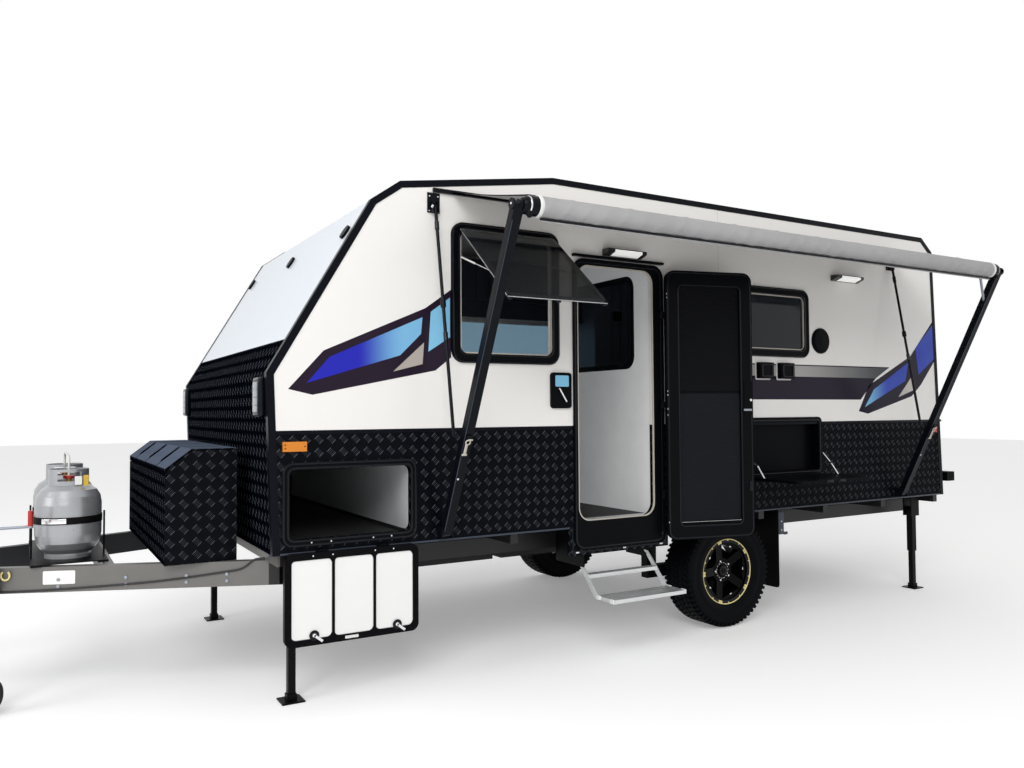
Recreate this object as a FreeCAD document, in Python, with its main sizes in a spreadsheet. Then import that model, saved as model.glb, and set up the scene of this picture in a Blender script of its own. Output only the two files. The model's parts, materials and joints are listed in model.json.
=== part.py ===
import FreeCAD, Part
import Sketcher
import math
import os

# A single-axle travel caravan, parked: front and coupling towards -X, the door
# side (nearside) towards -Y, +Z up. The origin is the mouth of the coupling's
# pin bore. Every size is in millimetres. Heights in the table are above the
# ground and lengths are behind the coupling, unless the name says otherwise.

V = FreeCAD.Vector
doc = FreeCAD.newDocument("TravelCaravan")
sheet = doc.addObject("Spreadsheet::Sheet", "Dims")

SIZES = {
    # Body shell, outside
    "couplingHeight": 585, "bodyFront": 2075, "bodyLength": 5390, "bodyWidth": 2292,
    "skirtHeight": 760, "wall": 30, "frontLean": 33, "bendHeight": 1650,
    "slopeRun": 536, "slopeTopHeight": 2563, "browRun": 161, "browHeight": 2678,
    "crownRun": 967, "roofHeight": 2826, "tailRun": 130, "tailDrop": 106, "rearLean": 85,
    "floorThick": 40, "trimWidth": 34, "trimProud": 3, "fit": 0.3,
    "doorDrop": 160, "doorDropMargin": 30, "plateTop": 1365,
    # Hinges and pivot pins
    "hingePin": 4, "hingeKnuckle": 7, "hingeLong": 60, "hingeCollar": 10, "hingeStrap": 3,
    "cheekThick": 6, "cheekGap": 2, "pinFit": 0.3,
    # Chassis
    "railOuter": 820, "railWidth": 50, "railTall": 100, "bearerWide": 50, "bearerTall": 60,
    "bearerReach": 1105, "drawbarTall": 125, "drawbarWide": 50, "drawbarAngle": 22.5,
    "drawbarSpread": 923, "drawbarReach": 125, "drawbarNose": 170, "chassisTail": 20,
    "noseThick": 10, "crossRoom": 20,
    # Coupling and handbrake
    "pinRadius": 17.6, "couplingRadius": 45, "couplingTall": 95, "neckWide": 70, "neckTall": 60,
    "leverRun": 60, "leverRise": 330, "leverRadius": 11, "leverSeat": 22,
    # Doorway, door frame and door
    "doorFront": 3865, "doorWide": 580, "doorSill": 800, "doorTop": 2330, "doorRound": 80,
    "doorFrameFront": 26, "doorFrameRear": 85, "doorFrameLow": 630, "doorFrameTop": 2370,
    "doorFrameProud": 15, "leafWide": 604, "leafLow": 646, "leafTop": 2335, "leafThick": 30,
    "leafSwing": 15, "hingeGap": 15, "movingGap": 5, "leafRound": 60,
    "screenLow": 734, "screenTop": 2240, "screenMargin": 88, "lockCaseWide": 58,
    "lockCaseLow": 1425, "lockCaseTall": 215, "lockCaseProud": 4, "lockCaseIn": 6,
    # Window beside the door, with its sash held open
    "windowFront": 3088, "windowWide": 599, "windowLow": 1775, "windowTop": 2445,
    "windowEdge": 52, "windowProud": 14, "windowRound": 45,
    "sashAngle": 50, "sashTall": 690, "paneThick": 6, "sashMargin": 8,
    # Small window behind the door, and the two windows of the far side
    "smallFront": 5270, "smallWide": 570, "smallLow": 1875, "smallTop": 2255,
    "farFront": 3300, "farWide": 800, "farRearFront": 5950, "farRearWide": 700,
    # Tunnel boot behind the front wall
    "bootFront": 2152, "bootWide": 642, "bootLow": 830, "bootTop": 1175, "bootRound": 40,
    "bootEdge": 36, "bootProud": 8, "bootLeafTall": 450, "bootLeafThick": 28,
    "bootLeafGap": 6, "bootLeafRim": 34, "bootLeafBar": 16, "bootLeafRecess": 5,
    "bootPivotOut": 24, "bootPivotHeight": 772, "linerThick": 12,
    # Fold-down picnic table
    "tableFront": 5285, "tableWide": 730, "tableLow": 990, "tableTop": 1400, "tableEdge": 30,
    "tableProud": 8, "tableDeep": 60, "tableSkin": 3, "tableRound": 20,
    "tableLeafThick": 18, "tableLeafDeep": 385, "tablePivotOut": 24,
    # Awning
    "armFront": 2980, "armSpan": 3900, "armFootHeight": 812, "armFootOut": 44,
    "armLength": 1771, "armWide": 52, "armDeep": 42, "awningLean": 25.6, "armPin": 5,
    "rafterPin": 4, "rafterEye": 10, "footTall": 60, "rollerRadius": 48, "rollerOverhang": 60,
    "rafterTopHeight": 2560, "rafterTopOut": 28, "rafterLength": 1250, "rafterRadius": 9,
    "rafterLean": 9.7, "rafterOffset": 48, "awningRailHeight": 2655, "awningRailTall": 22,
    "awningRailOut": 18, "fabricThick": 3, "torsionRadius": 24, "capThick": 8,
    "latchWide": 30, "latchProud": 10, "latchLong": 110, "latchReach": 480,
    "knobRadius": 15, "knobLong": 40, "headPlateWide": 73, "headPlateTall": 110,
    "headPlateThick": 6,
    # Drawbar toolbox
    "toolboxFront": 1637, "toolboxShelf": 122, "toolboxDeep": 347, "toolboxHalf": 780,
    "toolboxShoulder": 1180, "toolboxTop": 1275, "toolboxSkin": 4, "toolboxLip": 30,
    "ribProud": 8, "ribWide": 26, "ribApart": 450, "lidPivotDrop": 16,
    # Gas bottles
    "bottleX": 1239, "bottleApart": 500, "bottleRadius": 157, "bottleLow": 712,
    "bottleTop": 1083, "bottleHead": 95, "collarRadius": 95, "collarTall": 85, "collarThick": 4,
    "collarGap": 110, "collarFoot": 24, "collarRim": 14, "valveRadius": 15, "valveTall": 34,
    "valveWheel": 27, "footRingRadius": 110, "footRingTall": 25, "trayThick": 5,
    "traySide": 480, "rodGap": 12, "holderRadius": 5, "holderTop": 940,
    # Gas hose over the bottles, and the cable clipped along the drawbar
    "hoseRadius": 6, "hoseTop": 1235, "cableRadius": 5, "cableFront": 330, "cableLow": 583,
    "cableMiddle": 1100, "cableBend": 1640, "cableBendHeight": 612, "cableTurn": 2000,
    "cableTurnHeight": 660, "cableRear": 2055, "cableRearHeight": 712,
    # Jockey wheel
    "jockeyX": 905, "jockeyOut": 430, "jockeyTubeRadius": 24, "jockeyTubeTop": 905,
    "jockeyTubeLow": 330, "jockeyWheelRadius": 100, "jockeyWheelWide": 65, "jockeyTrail": 45,
    "jockeyBoss": 9, "jockeyPlate": 6, "jockeySleeve": 31, "crankRadius": 7, "crankReach": 160,
    "gripRadius": 12, "gripTall": 85, "clampMargin": 20,
    # Corner legs
    "legOut": 979, "legFront": 2210, "legRear": 7290, "legTube": 50,
    "legPivotHeight": 635, "legPin": 8, "legFoot": 115, "legFootThick": 8, "legBracket": 8,
    "legInner": 38, "legSleeveLow": 300,
    # Wheels
    "wheelX": 5125, "wheelHeight": 368, "tyreRadius": 368, "tyreWide": 245, "tyreOut": 1110,
    "rimRadius": 203, "rimSkin": 6, "rimLip": 14, "spokeWide": 56, "spokeReach": 182,
    "hubPad": 78, "hubRadius": 55, "drumRadius": 150, "drumWide": 60, "drumReach": 74,
    # Trailing arms
    "armPivotAhead": 470, "trailWide": 60, "trailTall": 80,
    "stubRadius": 26, "spindleFit": 0.05, "spindleLong": 86, "springRadius": 58,
    "damperRadius": 18, "damperBehind": 115,
    # Step
    "stepFront": 3945, "stepWide": 520, "stepBracketLow": 520, "treadThick": 22,
    "upperTreadHeight": 479, "upperTreadOut": 1150, "upperTreadDeep": 60,
    "lowerTreadHeight": 375, "lowerTreadOut": 1400, "lowerTreadDeep": 170,
    "ribTall": 6, "ribGap": 8, "stepArmThick": 8, "stepArmTall": 40, "stepPivotOut": 1040,
    "stepPivotHeight": 545, "stepPin": 6,
    # Rear bar and spare wheel
    "barBehind": 105, "barWide": 100, "barTall": 75, "barLow": 860, "barReach": 1120,
    "barArmLap": 300, "spareOffset": 350, "spareHeight": 1330,
    # Fittings on the walls
    "speakerX": 6023, "speakerHeight": 1951, "speakerRadius": 93, "speakerProud": 15,
    "inletX": 5366, "inletWide": 131, "inletPitch": 206, "inletLow": 1670, "inletTall": 110,
    "inletProud": 40, "lockX": 3677, "lockWide": 144, "lockLow": 1470, "lockTall": 210,
    "lockProud": 14, "lampWide": 300, "lampTall": 40, "lampProud": 60, "lampHeight": 2400,
    "dripGap": 8, "dripTall": 14, "dripProud": 28, "ventRadius": 40, "ventProud": 14,
    "ventOut": 1028, "cornerLampProud": 26, "cornerLampHeight": 1500,
    "cornerLampTall": 55, "tailLampLow": 1010, "tailLampTall": 260, "tailLampWide": 90,
    "tailLampIn": 60, "tailLampProud": 30,
    "porchLampX": 4065, "rearLampX": 6150, "markerWide": 118, "markerTall": 48,
    "markerProud": 16, "markerHeight": 1264, "markerFrontX": 2118, "markerRearX": 7265,
    # Under the floor and on the roof
    "tankFront": 2880, "tankLong": 700, "tankGap": 60, "tankHalf": 620, "tankTall": 170,
    "hatchX": 4200, "hatchWide": 400, "hatchTall": 60, "hatchEdge": 60, "coolerX": 5200,
    "coolerLong": 800, "coolerWide": 600, "coolerTall": 210, "coolerEdge": 70,
    # Inside
    "partitionDeep": 820, "partitionThick": 20, "partitionPost": 171, "viewLow": 1730,
    "viewTop": 2340, "ceilingGap": 120, "benchTall": 900, "benchDeep": 500, "benchLong": 1420,
    "lockerTall": 340, "lockerDeep": 320, "cupboardLong": 540, "doorPanel": 10,
    "doorReveal": 6, "bedTall": 500, "bedLong": 1500, "bedGap": 120,
    # Mud flaps
    "flapX": 5590, "flapLow": 210, "flapThick": 6, "flapWide": 250, "flapRound": 25,
}


class Size(float):
    """A number that also carries the sheet formula which gives it."""

    def __new__(cls, number, formula=None):
        made = float.__new__(cls, number)
        made.formula = formula or repr(float(number))
        return made

    def joined(self, other, sign, result):
        other = other if isinstance(other, Size) else Size(other)
        return Size(result, "(%s %s %s)" % (self.formula, sign, other.formula))

    def __add__(self, other):
        return self.joined(other, "+", float(self) + float(other))

    def __radd__(self, other):
        return Size(other).joined(self, "+", float(other) + float(self))

    def __sub__(self, other):
        return self.joined(other, "-", float(self) - float(other))

    def __rsub__(self, other):
        return Size(other).joined(self, "-", float(other) - float(self))

    def __mul__(self, other):
        return self.joined(other, "*", float(self) * float(other))

    def __rmul__(self, other):
        return self.joined(other, "*", float(self) * float(other))

    def __truediv__(self, other):
        return self.joined(other, "/", float(self) / float(other))

    def __neg__(self):
        return Size(-float(self), "(0 - %s)" % self.formula)


def sine(angle):
    return Size(math.sin(math.radians(angle)), "sin(%s)" % angle.formula)


def cosine(angle):
    return Size(math.cos(math.radians(angle)), "cos(%s)" % angle.formula)


class Table:
    """The sheet's cells by name."""


d = Table()
for row, (name, number) in enumerate(SIZES.items(), start=1):
    sheet.set("A%d" % row, name)
    sheet.set("B%d" % row, str(number))
    sheet.setAlias("B%d" % row, name)
    setattr(d, name, Size(number, "Dims." + name))
doc.recompute()

NODES = []
ZERO = Size(0)


# Helpers: binding, placing and sketching

def bind(thing, prop, size):
    """Sets a property from a size and ties it to the size's formula."""
    thing.setExpression(prop, size.formula)


def place(thing, x, y, z, turn=None):
    """Puts a piece at x, y, z, turned about one axis; z counts from the ground."""
    axis, angle = turn or (V(0, 0, 1), ZERO)
    low = above(z)
    rotation = FreeCAD.Rotation(axis, float(angle) or 1.0)
    thing.Placement = FreeCAD.Placement(V(x, y, low), rotation)
    bind(thing, "Placement.Base.x", x)
    bind(thing, "Placement.Base.y", y)
    bind(thing, "Placement.Base.z", low)
    bind(thing, "Placement.Rotation.Angle", angle)
    return thing


def above(height):
    """Height above the ground, in the part's own frame."""
    return height - d.couplingHeight


def hold(sketch, geometry, point, spot):
    """Ties a point of the sketch to its two sizes."""
    for kind, axis, size in (("DistanceX", -2, spot[0]), ("DistanceY", -1, spot[1])):
        if size is ZERO:
            sketch.addConstraint(Sketcher.Constraint("PointOnObject", geometry, point, axis))
            continue
        held = Sketcher.Constraint(kind, -1, 1, geometry, point, float(size))
        number = sketch.addConstraint(held)
        sketch.setExpression("Constraints[%d]" % number, size.formula)


def chain(sketch, first, count):
    for i in range(count):
        link = Sketcher.Constraint("Coincident", first + i, 2, first + (i + 1) % count, 1)
        sketch.addConstraint(link)


def poly(*corners):
    """Closed outline of straight lines."""
    def draw(sketch):
        first = sketch.GeometryCount
        for a, b in zip(corners, corners[1:] + corners[:1]):
            sketch.addGeometry(Part.LineSegment(V(a[0], a[1], 0), V(b[0], b[1], 0)), False)
        chain(sketch, first, len(corners))
        for i, corner in enumerate(corners):
            hold(sketch, first + i, 1, corner)
    return draw


def rect(u0, v0, u1, v1):
    return poly((u0, v0), (u1, v0), (u1, v1), (u0, v1))


def rounded(u0, v0, u1, v1, r):
    """Rectangle with four round corners."""
    def draw(sketch):
        first = sketch.GeometryCount
        sides = (((u0 + r, v0), (u1 - r, v0)), ((u1, v0 + r), (u1, v1 - r)),
                 ((u1 - r, v1), (u0 + r, v1)), ((u0, v1 - r), (u0, v0 + r)))
        centres = ((u1 - r, v0 + r), (u1 - r, v1 - r), (u0 + r, v1 - r), (u0 + r, v0 + r))
        for i, (side, centre) in enumerate(zip(sides, centres)):
            (a, b), start = side, math.radians(90 * (i - 1))
            sketch.addGeometry(Part.LineSegment(V(a[0], a[1], 0), V(b[0], b[1], 0)), False)
            circle = Part.Circle(V(centre[0], centre[1], 0), V(0, 0, 1), float(r))
            arc = Part.ArcOfCircle(circle, start, start + math.pi / 2)
            sketch.addGeometry(arc, False)
        chain(sketch, first, 8)
        for i, side in enumerate(sides):
            hold(sketch, first + 2 * i, 1, side[0])
            hold(sketch, first + 2 * i, 2, side[1])
            number = sketch.addConstraint(Sketcher.Constraint("Radius", first + 2 * i + 1, float(r)))
            sketch.setExpression("Constraints[%d]" % number, r.formula)
    return draw


def disc(u, v, r):
    def draw(sketch):
        number = sketch.GeometryCount
        sketch.addGeometry(Part.Circle(V(u, v, 0), V(0, 0, 1), float(r)), False)
        hold(sketch, number, 3, (u, v))
        held = sketch.addConstraint(Sketcher.Constraint("Radius", number, float(r)))
        sketch.setExpression("Constraints[%d]" % held, r.formula)
    return draw


def drawn(body, plane, shapes):
    """A sketch with the given outlines on one of the body's own planes."""
    sketch = body.newObject("Sketcher::SketchObject", body.Name + "Sketch")
    flat = [f for f in body.Origin.OriginFeatures if f.Role == plane + "_Plane"][0]
    sketch.AttachmentSupport = [(flat, "")]
    sketch.MapMode = "FlatFace"
    for draw in shapes:
        draw(sketch)
    return sketch


def slab(name, plane, shapes, depth, at, turn=None):
    """A flat piece: outlines on a plane, padded by depth towards +X, +Y or +Z."""
    body = doc.addObject("PartDesign::Body", name)
    sketch = drawn(body, plane, shapes)
    pad = body.newObject("PartDesign::Pad", name + "Pad")
    pad.Profile = sketch
    pad.Reversed = plane == "XZ"
    bind(pad, "Length", depth)
    return place(body, *at, turn)


def turned(name, corners, at, turn):
    """A turned piece: a closed profile of radius and height spun about its height."""
    body = doc.addObject("PartDesign::Body", name)
    sketch = drawn(body, "XZ", [poly(*corners)])
    spin = body.newObject("PartDesign::Revolution", name + "Spin")
    spin.Profile = sketch
    spin.ReferenceAxis = (sketch, ["V_Axis"])
    spin.Angle = 360
    return place(body, *at, turn)


AXES = {"X": (V(0, 1, 0), Size(90)), "Y": (V(1, 0, 0), Size(-90)), "Z": None}


def rod(name, at, radius, length, along):
    """A round bar from a point towards +X, +Y or +Z."""
    bar = doc.addObject("Part::Cylinder", name)
    bind(bar, "Radius", radius)
    bind(bar, "Height", length)
    return place(bar, *at, AXES[along])


def block(name, at, size):
    """A rectangular piece from its low corner."""
    box = doc.addObject("Part::Box", name)
    for prop, length in zip(("Length", "Width", "Height"), size):
        bind(box, prop, length)
    return place(box, *at)


def strut(name, a, b, radius):
    """A round bar between two points, whose heights count from the ground."""
    start, end = [V(p[0], p[1], above(p[2])) for p in (a, b)]
    return shaped(name, Part.makeCylinder(float(radius), (end - start).Length, start, end - start))


def cut(name, base, tool):
    made = doc.addObject("Part::Cut", name)
    made.Base, made.Tool = base, tool
    return made


BEND_SHARE = 0.45


def tube(points, radius):
    """A round cord along straight runs joined by tangent arcs, as wide as the runs allow."""
    spots = [V(p[0], p[1], above(p[2])) for p in points]
    edges, start = [], spots[0]
    for before, corner, after in zip(spots, spots[1:], spots[2:]):
        back, ahead = before - corner, after - corner
        reach = BEND_SHARE * min(back.Length, ahead.Length)
        turn = math.pi - back.getAngle(ahead)
        bend = reach / math.tan(turn / 2)
        enter, leave = corner + back.normalize() * reach, corner + ahead.normalize() * reach
        inward = (back + ahead).normalize()
        middle = corner + inward * (math.hypot(reach, bend) - bend)
        edges += [Part.LineSegment(start, enter).toShape(),
                  Part.Arc(enter, middle, leave).toShape()]
        start = leave
    edges.append(Part.LineSegment(start, spots[-1]).toShape())
    ring = Part.Wire(Part.makeCircle(float(radius), spots[0], spots[1] - spots[0]))
    return Part.Wire(edges).makePipeShell([ring], True, True)


def lofted(name, low, top):
    """A solid between two rectangles, each given by its low and high corners and a height."""
    wires = []
    for (x0, y0), (x1, y1), height in (low, top):
        z = above(height)
        corners = [V(x0, y0, z), V(x1, y0, z), V(x1, y1, z), V(x0, y1, z)]
        wires.append(Part.makePolygon(corners + corners[:1]))
    return shaped(name, Part.makeLoft(wires, True, True))


def fused(name, pieces):
    made = doc.addObject("Part::MultiFuse", name)
    made.Shapes = pieces
    return made


def together(name, pieces):
    """Like pieces on one body that share a node without touching."""
    made = doc.addObject("Part::Compound", name)
    made.Links = pieces
    return made


def mirrored(name, source):
    """The same piece on the other side of the caravan."""
    made = doc.addObject("Part::Mirroring", name)
    made.Source = source
    made.Base = V(0, 0, 0)
    made.Normal = V(0, 1, 0)
    return made


def shaped(name, shape):
    """A piece whose shape is worked out from the sheet's values."""
    made = doc.addObject("Part::Feature", name)
    made.Shape = shape
    made.Placement = FreeCAD.Placement()
    return made


def node(label, thing):
    thing.Label = label
    NODES.append(thing)
    return thing


def both(name, near):
    """The piece and its mirror image, kept as two solids."""
    return [near, mirrored(name + "Far", near)]


NORMALS = {"YZ": "X", "XZ": "Y", "XY": "Z"}


def spot(plane, along, u, v):
    """A place given by its distance along a plane's normal and its two sizes in the plane."""
    return {"YZ": (along, u, v), "XZ": (u, along, v), "XY": (u, v, along)}[plane]


def strip(name, plane, low, high, start, depth):
    """A rectangular bar along a plane's normal, from its low and high corners."""
    size = spot(plane, depth, high[0] - low[0], high[1] - low[1])
    return block(name, spot(plane, start, low[0], low[1]), size)


def hinge(name, plane, start, pivot, fixed, moving):
    """A knuckle hinge: the pieces on the carrier, and the one on the leaf.

    fixed and moving list the cross-sections of the straps that reach from the
    pin to the carrier and to the leaf, each as its low and high corners.
    """
    along = NORMALS[plane]
    end = start + d.hingeLong - d.hingeCollar
    carrier = [rod(name + "Pin", spot(plane, start, *pivot), d.hingePin, d.hingeLong, along)]
    for i, (low, high) in enumerate(fixed):
        for j, place_on in enumerate((start, end)):
            carrier.append(strip("%sStrap%d%d" % (name, i, j), plane, low, high, place_on,
                                 d.hingeCollar))
    middle = start + d.hingeCollar + d.fit
    length = d.hingeLong - 2 * (d.hingeCollar + d.fit)
    knuckle = rod(name + "Knuckle", spot(plane, middle, *pivot), d.hingeKnuckle, length, along)
    straps = [strip("%sLeafStrap%d" % (name, i), plane, low, high, middle, length)
              for i, (low, high) in enumerate(moving)]
    bore = rod(name + "Bore", spot(plane, middle, *pivot), d.hingePin + d.pinFit, length, along)
    whole = fused(name + "LeafWhole", [knuckle] + straps) if straps else knuckle
    return carrier, cut(name + "Leaf", whole, bore)


def spread(start, length, count):
    """Even places along a length, set in from its ends by half a pitch."""
    pitch = length / count
    return [start + pitch * i + (pitch - d.hingeLong) / 2 for i in range(count)]


# Places that several pieces share

HALF = d.bodyWidth / 2
WALL_IN = HALF - d.wall
FLOOR_TOP = d.skirtHeight + d.floorThick
CHASSIS_TOP = d.skirtHeight - d.bearerTall
BODY_REAR = d.bodyFront + d.bodyLength
BEND = (d.bodyFront - d.frontLean, d.bendHeight)
SLOPE_TOP = (BEND[0] + d.slopeRun, d.slopeTopHeight)
BROW = (SLOPE_TOP[0] + d.browRun, d.browHeight)
CROWN = (BROW[0] + d.crownRun, d.roofHeight)
TAIL_LOW = (BODY_REAR - d.rearLean, d.roofHeight - d.tailDrop)
TAIL = (TAIL_LOW[0] - d.tailRun, d.roofHeight)
FOOT_FRONT = (d.bodyFront, d.skirtHeight)
FOOT_REAR = (BODY_REAR, d.skirtHeight)
UPPER_OUTLINE = [TAIL_LOW, TAIL, CROWN, BROW, SLOPE_TOP, BEND, FOOT_FRONT]
REAR_SLOPE = d.rearLean / (TAIL_LOW[1] - d.skirtHeight)
FLOOR_FRONT = d.bodyFront + d.wall
FLOOR_REAR = BODY_REAR - d.wall - REAR_SLOPE * d.floorThick - d.fit


def in_frame(points):
    """Outline points with their heights counted in the part's frame."""
    return [(u, above(v)) for u, v in points]


# Chassis: two main rails, the drawbar's two raking rails, bearers and brackets

def drawbar_rail():
    """One raking rail, from the nose plate back to the first bearer."""
    lean = (V(0, 0, 1), -d.drawbarAngle)
    rear = d.bodyFront + d.drawbarReach
    length = (rear - d.drawbarNose) / cosine(d.drawbarAngle)
    outline = rect(-length, ZERO, ZERO, d.drawbarWide)
    at = (rear, -d.drawbarSpread, CHASSIS_TOP - d.drawbarTall)
    return slab("DrawbarRail", "XY", [outline], d.drawbarTall, at, lean)


def main_rail():
    at = (d.bodyFront + d.wall, -d.railOuter, CHASSIS_TOP - d.railTall)
    size = (d.bodyLength - d.wall - d.chassisTail, d.railWidth, d.railTall)
    return block("MainRail", at, size)


BEARER_COUNT = 9


def bearers():
    """Cross bearers under the floor, evenly spaced, clear of the wheels."""
    start = d.bodyFront + d.wall
    pitch = (d.bodyLength - d.wall - d.bearerWide - d.chassisTail) / (BEARER_COUNT - 1)
    made = []
    for i in range(BEARER_COUNT):
        at = (start + pitch * i, -d.bearerReach, CHASSIS_TOP)
        size = (d.bearerWide, 2 * d.bearerReach, d.bearerTall)
        made.append(block("Bearer%d" % i, at, size))
    return made


def nose_plate():
    """The plate that closes the drawbar's point and carries the coupling."""
    at = (d.couplingRadius, -d.drawbarNose / 2, CHASSIS_TOP - d.drawbarTall)
    return block("NosePlate", at, (d.drawbarNose, d.drawbarNose, d.noseThick))


def between_rails(x):
    """Half the clear width between the raking rails at a distance behind the coupling."""
    behind = d.bodyFront + d.drawbarReach - x
    slope = sine(d.drawbarAngle) / cosine(d.drawbarAngle)
    return d.drawbarSpread - behind * slope - d.drawbarWide / cosine(d.drawbarAngle)


def chassis():
    rails = both("MainRail", main_rail()) + both("DrawbarRail", drawbar_rail())
    cross_x = d.bottleX + d.bottleRadius
    reach = between_rails(cross_x) + d.crossRoom
    cross = block("DrawbarCross", (cross_x, -reach, CHASSIS_TOP - d.drawbarTall),
                  (d.railWidth, 2 * reach, d.railTall))
    node("chassis", fused("Chassis", rails + bearers() + [nose_plate(), cross]))


def coupling():
    """A pin coupling: round head with a downward bore, its neck and the handbrake lever."""
    head = rod("CouplingHead", (ZERO, ZERO, d.couplingHeight), d.couplingRadius,
               d.couplingTall, "Z")
    low = CHASSIS_TOP - d.drawbarTall + d.noseThick
    neck = block("CouplingNeck", (ZERO, -d.neckWide / 2, low),
                 (d.drawbarNose, d.neckWide, d.neckTall))
    bore = rod("CouplingBore", (ZERO, ZERO, d.couplingHeight), d.pinRadius, d.neckTall, "Z")
    foot = (d.drawbarNose, ZERO, low + d.neckTall)
    lever = strut("BrakeLever", foot, (foot[0] - d.leverRun, ZERO, foot[2] + d.leverRise),
                  d.leverRadius)
    reach = d.leverSeat + d.leverRadius
    quadrant = block("BrakeQuadrant", (foot[0] - d.leverSeat, -d.leverRadius,
                                       foot[2] - d.leverRadius),
                     (reach, 2 * d.leverRadius, reach))
    whole = fused("CouplingBody", [head, neck, lever, quadrant])
    node("coupling", cut("Coupling", whole, bore))


# Body shell

def side_wall(name, start, holes):
    """A whole side panel in profile, with its openings cut."""
    points = in_frame(UPPER_OUTLINE + [FOOT_REAR])
    return slab(name, "XZ", [poly(*points)] + holes, d.wall, (ZERO, start, d.couplingHeight))


def opening(front, low, wide, top, radius):
    """A rounded opening in a side panel."""
    return rounded(front, above(low), front + wide, above(top), radius)


def kick_panel(name, grow):
    """The plate under the doorway, which hangs lower than the skirt."""
    front = d.doorFront - d.doorFrameFront - d.doorDropMargin - grow
    rear = d.doorFront + d.doorWide + d.doorFrameRear + d.doorDropMargin + grow
    low = d.skirtHeight - d.doorDrop
    return block(name, (front, -HALF - grow, low),
                 (rear - front, d.wall + 2 * grow, d.doorSill + grow - low))


def split_wall(wall):
    """The tread plates below and the white panel above, which meet at one level."""
    size = (2 * d.bodyLength, d.bodyWidth, d.roofHeight)
    side = -HALF - d.wall
    over = block("NearOver", (ZERO, side, d.plateTop), size)
    under = block("NearUnder", (ZERO, side, d.plateTop - d.roofHeight), size)
    skirt = cut("NearSkirt", cut("NearLower", wall, over), kick_panel("KickRoom", d.fit))
    plates = together("NearPlates", [skirt, kick_panel("KickPanel", ZERO)])
    return plates, cut("NearUpper", wall, under)


def side_walls():
    near = [opening(d.windowFront, d.windowLow, d.windowWide, d.windowTop, d.windowRound),
            opening(d.doorFront, d.doorSill, d.doorWide, d.doorTop, d.doorRound),
            opening(d.smallFront, d.smallLow, d.smallWide, d.smallTop, d.windowRound),
            opening(d.bootFront, d.bootLow, d.bootWide, d.bootTop, d.bootRound),
            opening(d.tableFront + d.tableEdge, d.tableLow + d.tableEdge,
                    d.tableWide - 2 * d.tableEdge, d.tableTop - d.tableEdge, d.tableRound)]
    far = [opening(d.farFront, d.windowLow, d.farWide, d.windowTop, d.windowRound),
           opening(d.farRearFront, d.windowLow, d.farRearWide, d.windowTop, d.windowRound),
           opening(d.bootFront, d.bootLow, d.bootWide, d.bootTop, d.bootRound)]
    lower, upper = split_wall(side_wall("SideWallNear", -HALF, near))
    node("side_skirt_near", lower)
    node("side_wall_near", upper)
    node("side_wall_far", side_wall("SideWallFar", WALL_IN, far))


def face(points, y):
    spots = [V(u, y, above(v)) for u, v in points]
    return Part.Face(Part.makePolygon(spots + spots[:1]))


def prism(points, y0, y1):
    """A solid between two heights across, from an outline in profile."""
    return face(points, y0).extrude(V(0, y1 - y0, 0))


def inset(points, distance, y0, y1):
    """The same outline moved inwards by a distance, as a solid."""
    edge = face(points, y0).makeOffset2D(-distance, join=2)
    return edge.extrude(V(0, y1 - y0, 0))


def skins():
    """Front, roof and rear panels: one shell between the side walls, split at its folds."""
    whole = UPPER_OUTLINE + [FOOT_REAR]
    shell = prism(whole, -WALL_IN, WALL_IN).cut(inset(whole, d.wall, -WALL_IN, WALL_IN))
    floor_cut = Part.makeBox(FLOOR_REAR - FLOOR_FRONT, d.bodyWidth, 2 * d.wall,
                             V(FLOOR_FRONT, -HALF, above(d.skirtHeight) - d.wall))
    shell = shell.cut(floor_cut)
    big = d.bodyLength
    cuts = {"front_lower": (-big, FLOOR_FRONT, d.skirtHeight - big, BEND[1]),
            "front_slope": (-big, BROW[0], BEND[1], d.roofHeight + big),
            "roof": (BROW[0], TAIL[0], BEND[1], d.roofHeight + big),
            "rear_wall": (TAIL[0], BODY_REAR + big, d.skirtHeight - big, d.roofHeight + big)}
    for label, (x0, x1, z0, z1) in cuts.items():
        cutter = Part.makeBox(x1 - x0, d.bodyWidth, z1 - z0, V(x0, -HALF, above(z0)))
        piece = shell.common(cutter)
        node(label, shaped(label.title().replace("_", ""), piece))


def edge_trims():
    """Angle mouldings that cap the body's edges on both sides."""
    whole = UPPER_OUTLINE + [FOOT_REAR]
    reach = HALF + d.trimProud
    outer = face(whole, -reach).makeOffset2D(d.trimProud, join=2)
    deep = d.trimWidth + d.trimProud
    ring = outer.extrude(V(0, deep, 0)).cut(prism(whole, -HALF, HALF))
    ring = ring.cut(inset(whole, d.trimWidth, -reach, HALF))
    foot = Part.makeBox(d.bodyLength * 2, d.bodyWidth, d.bodyLength,
                        V(0, -d.bodyWidth, above(d.skirtHeight) - d.bodyLength))
    inside_x = d.bodyFront + d.trimWidth
    skirt = Part.makeBox(BODY_REAR - d.trimWidth - inside_x, d.bodyWidth, 2 * d.trimWidth,
                         V(inside_x, -d.bodyWidth, above(d.skirtHeight)))
    near = shaped("EdgeTrimNear", ring.cut(foot).cut(skirt))
    node("edge_trims", together("EdgeTrims", both("EdgeTrimNear", near)))


def floor():
    at = (FLOOR_FRONT, -WALL_IN, d.skirtHeight)
    size = (FLOOR_REAR - FLOOR_FRONT, 2 * WALL_IN, d.floorThick)
    node("floor", block("Floor", at, size))


# Doorway and door

DOOR_REAR = d.doorFront + d.doorWide
FRAME_FACE = HALF + d.doorFrameProud
HINGE = (DOOR_REAR + d.doorFrameRear / 2, -(FRAME_FACE + d.movingGap + d.leafThick + d.fit))


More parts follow.
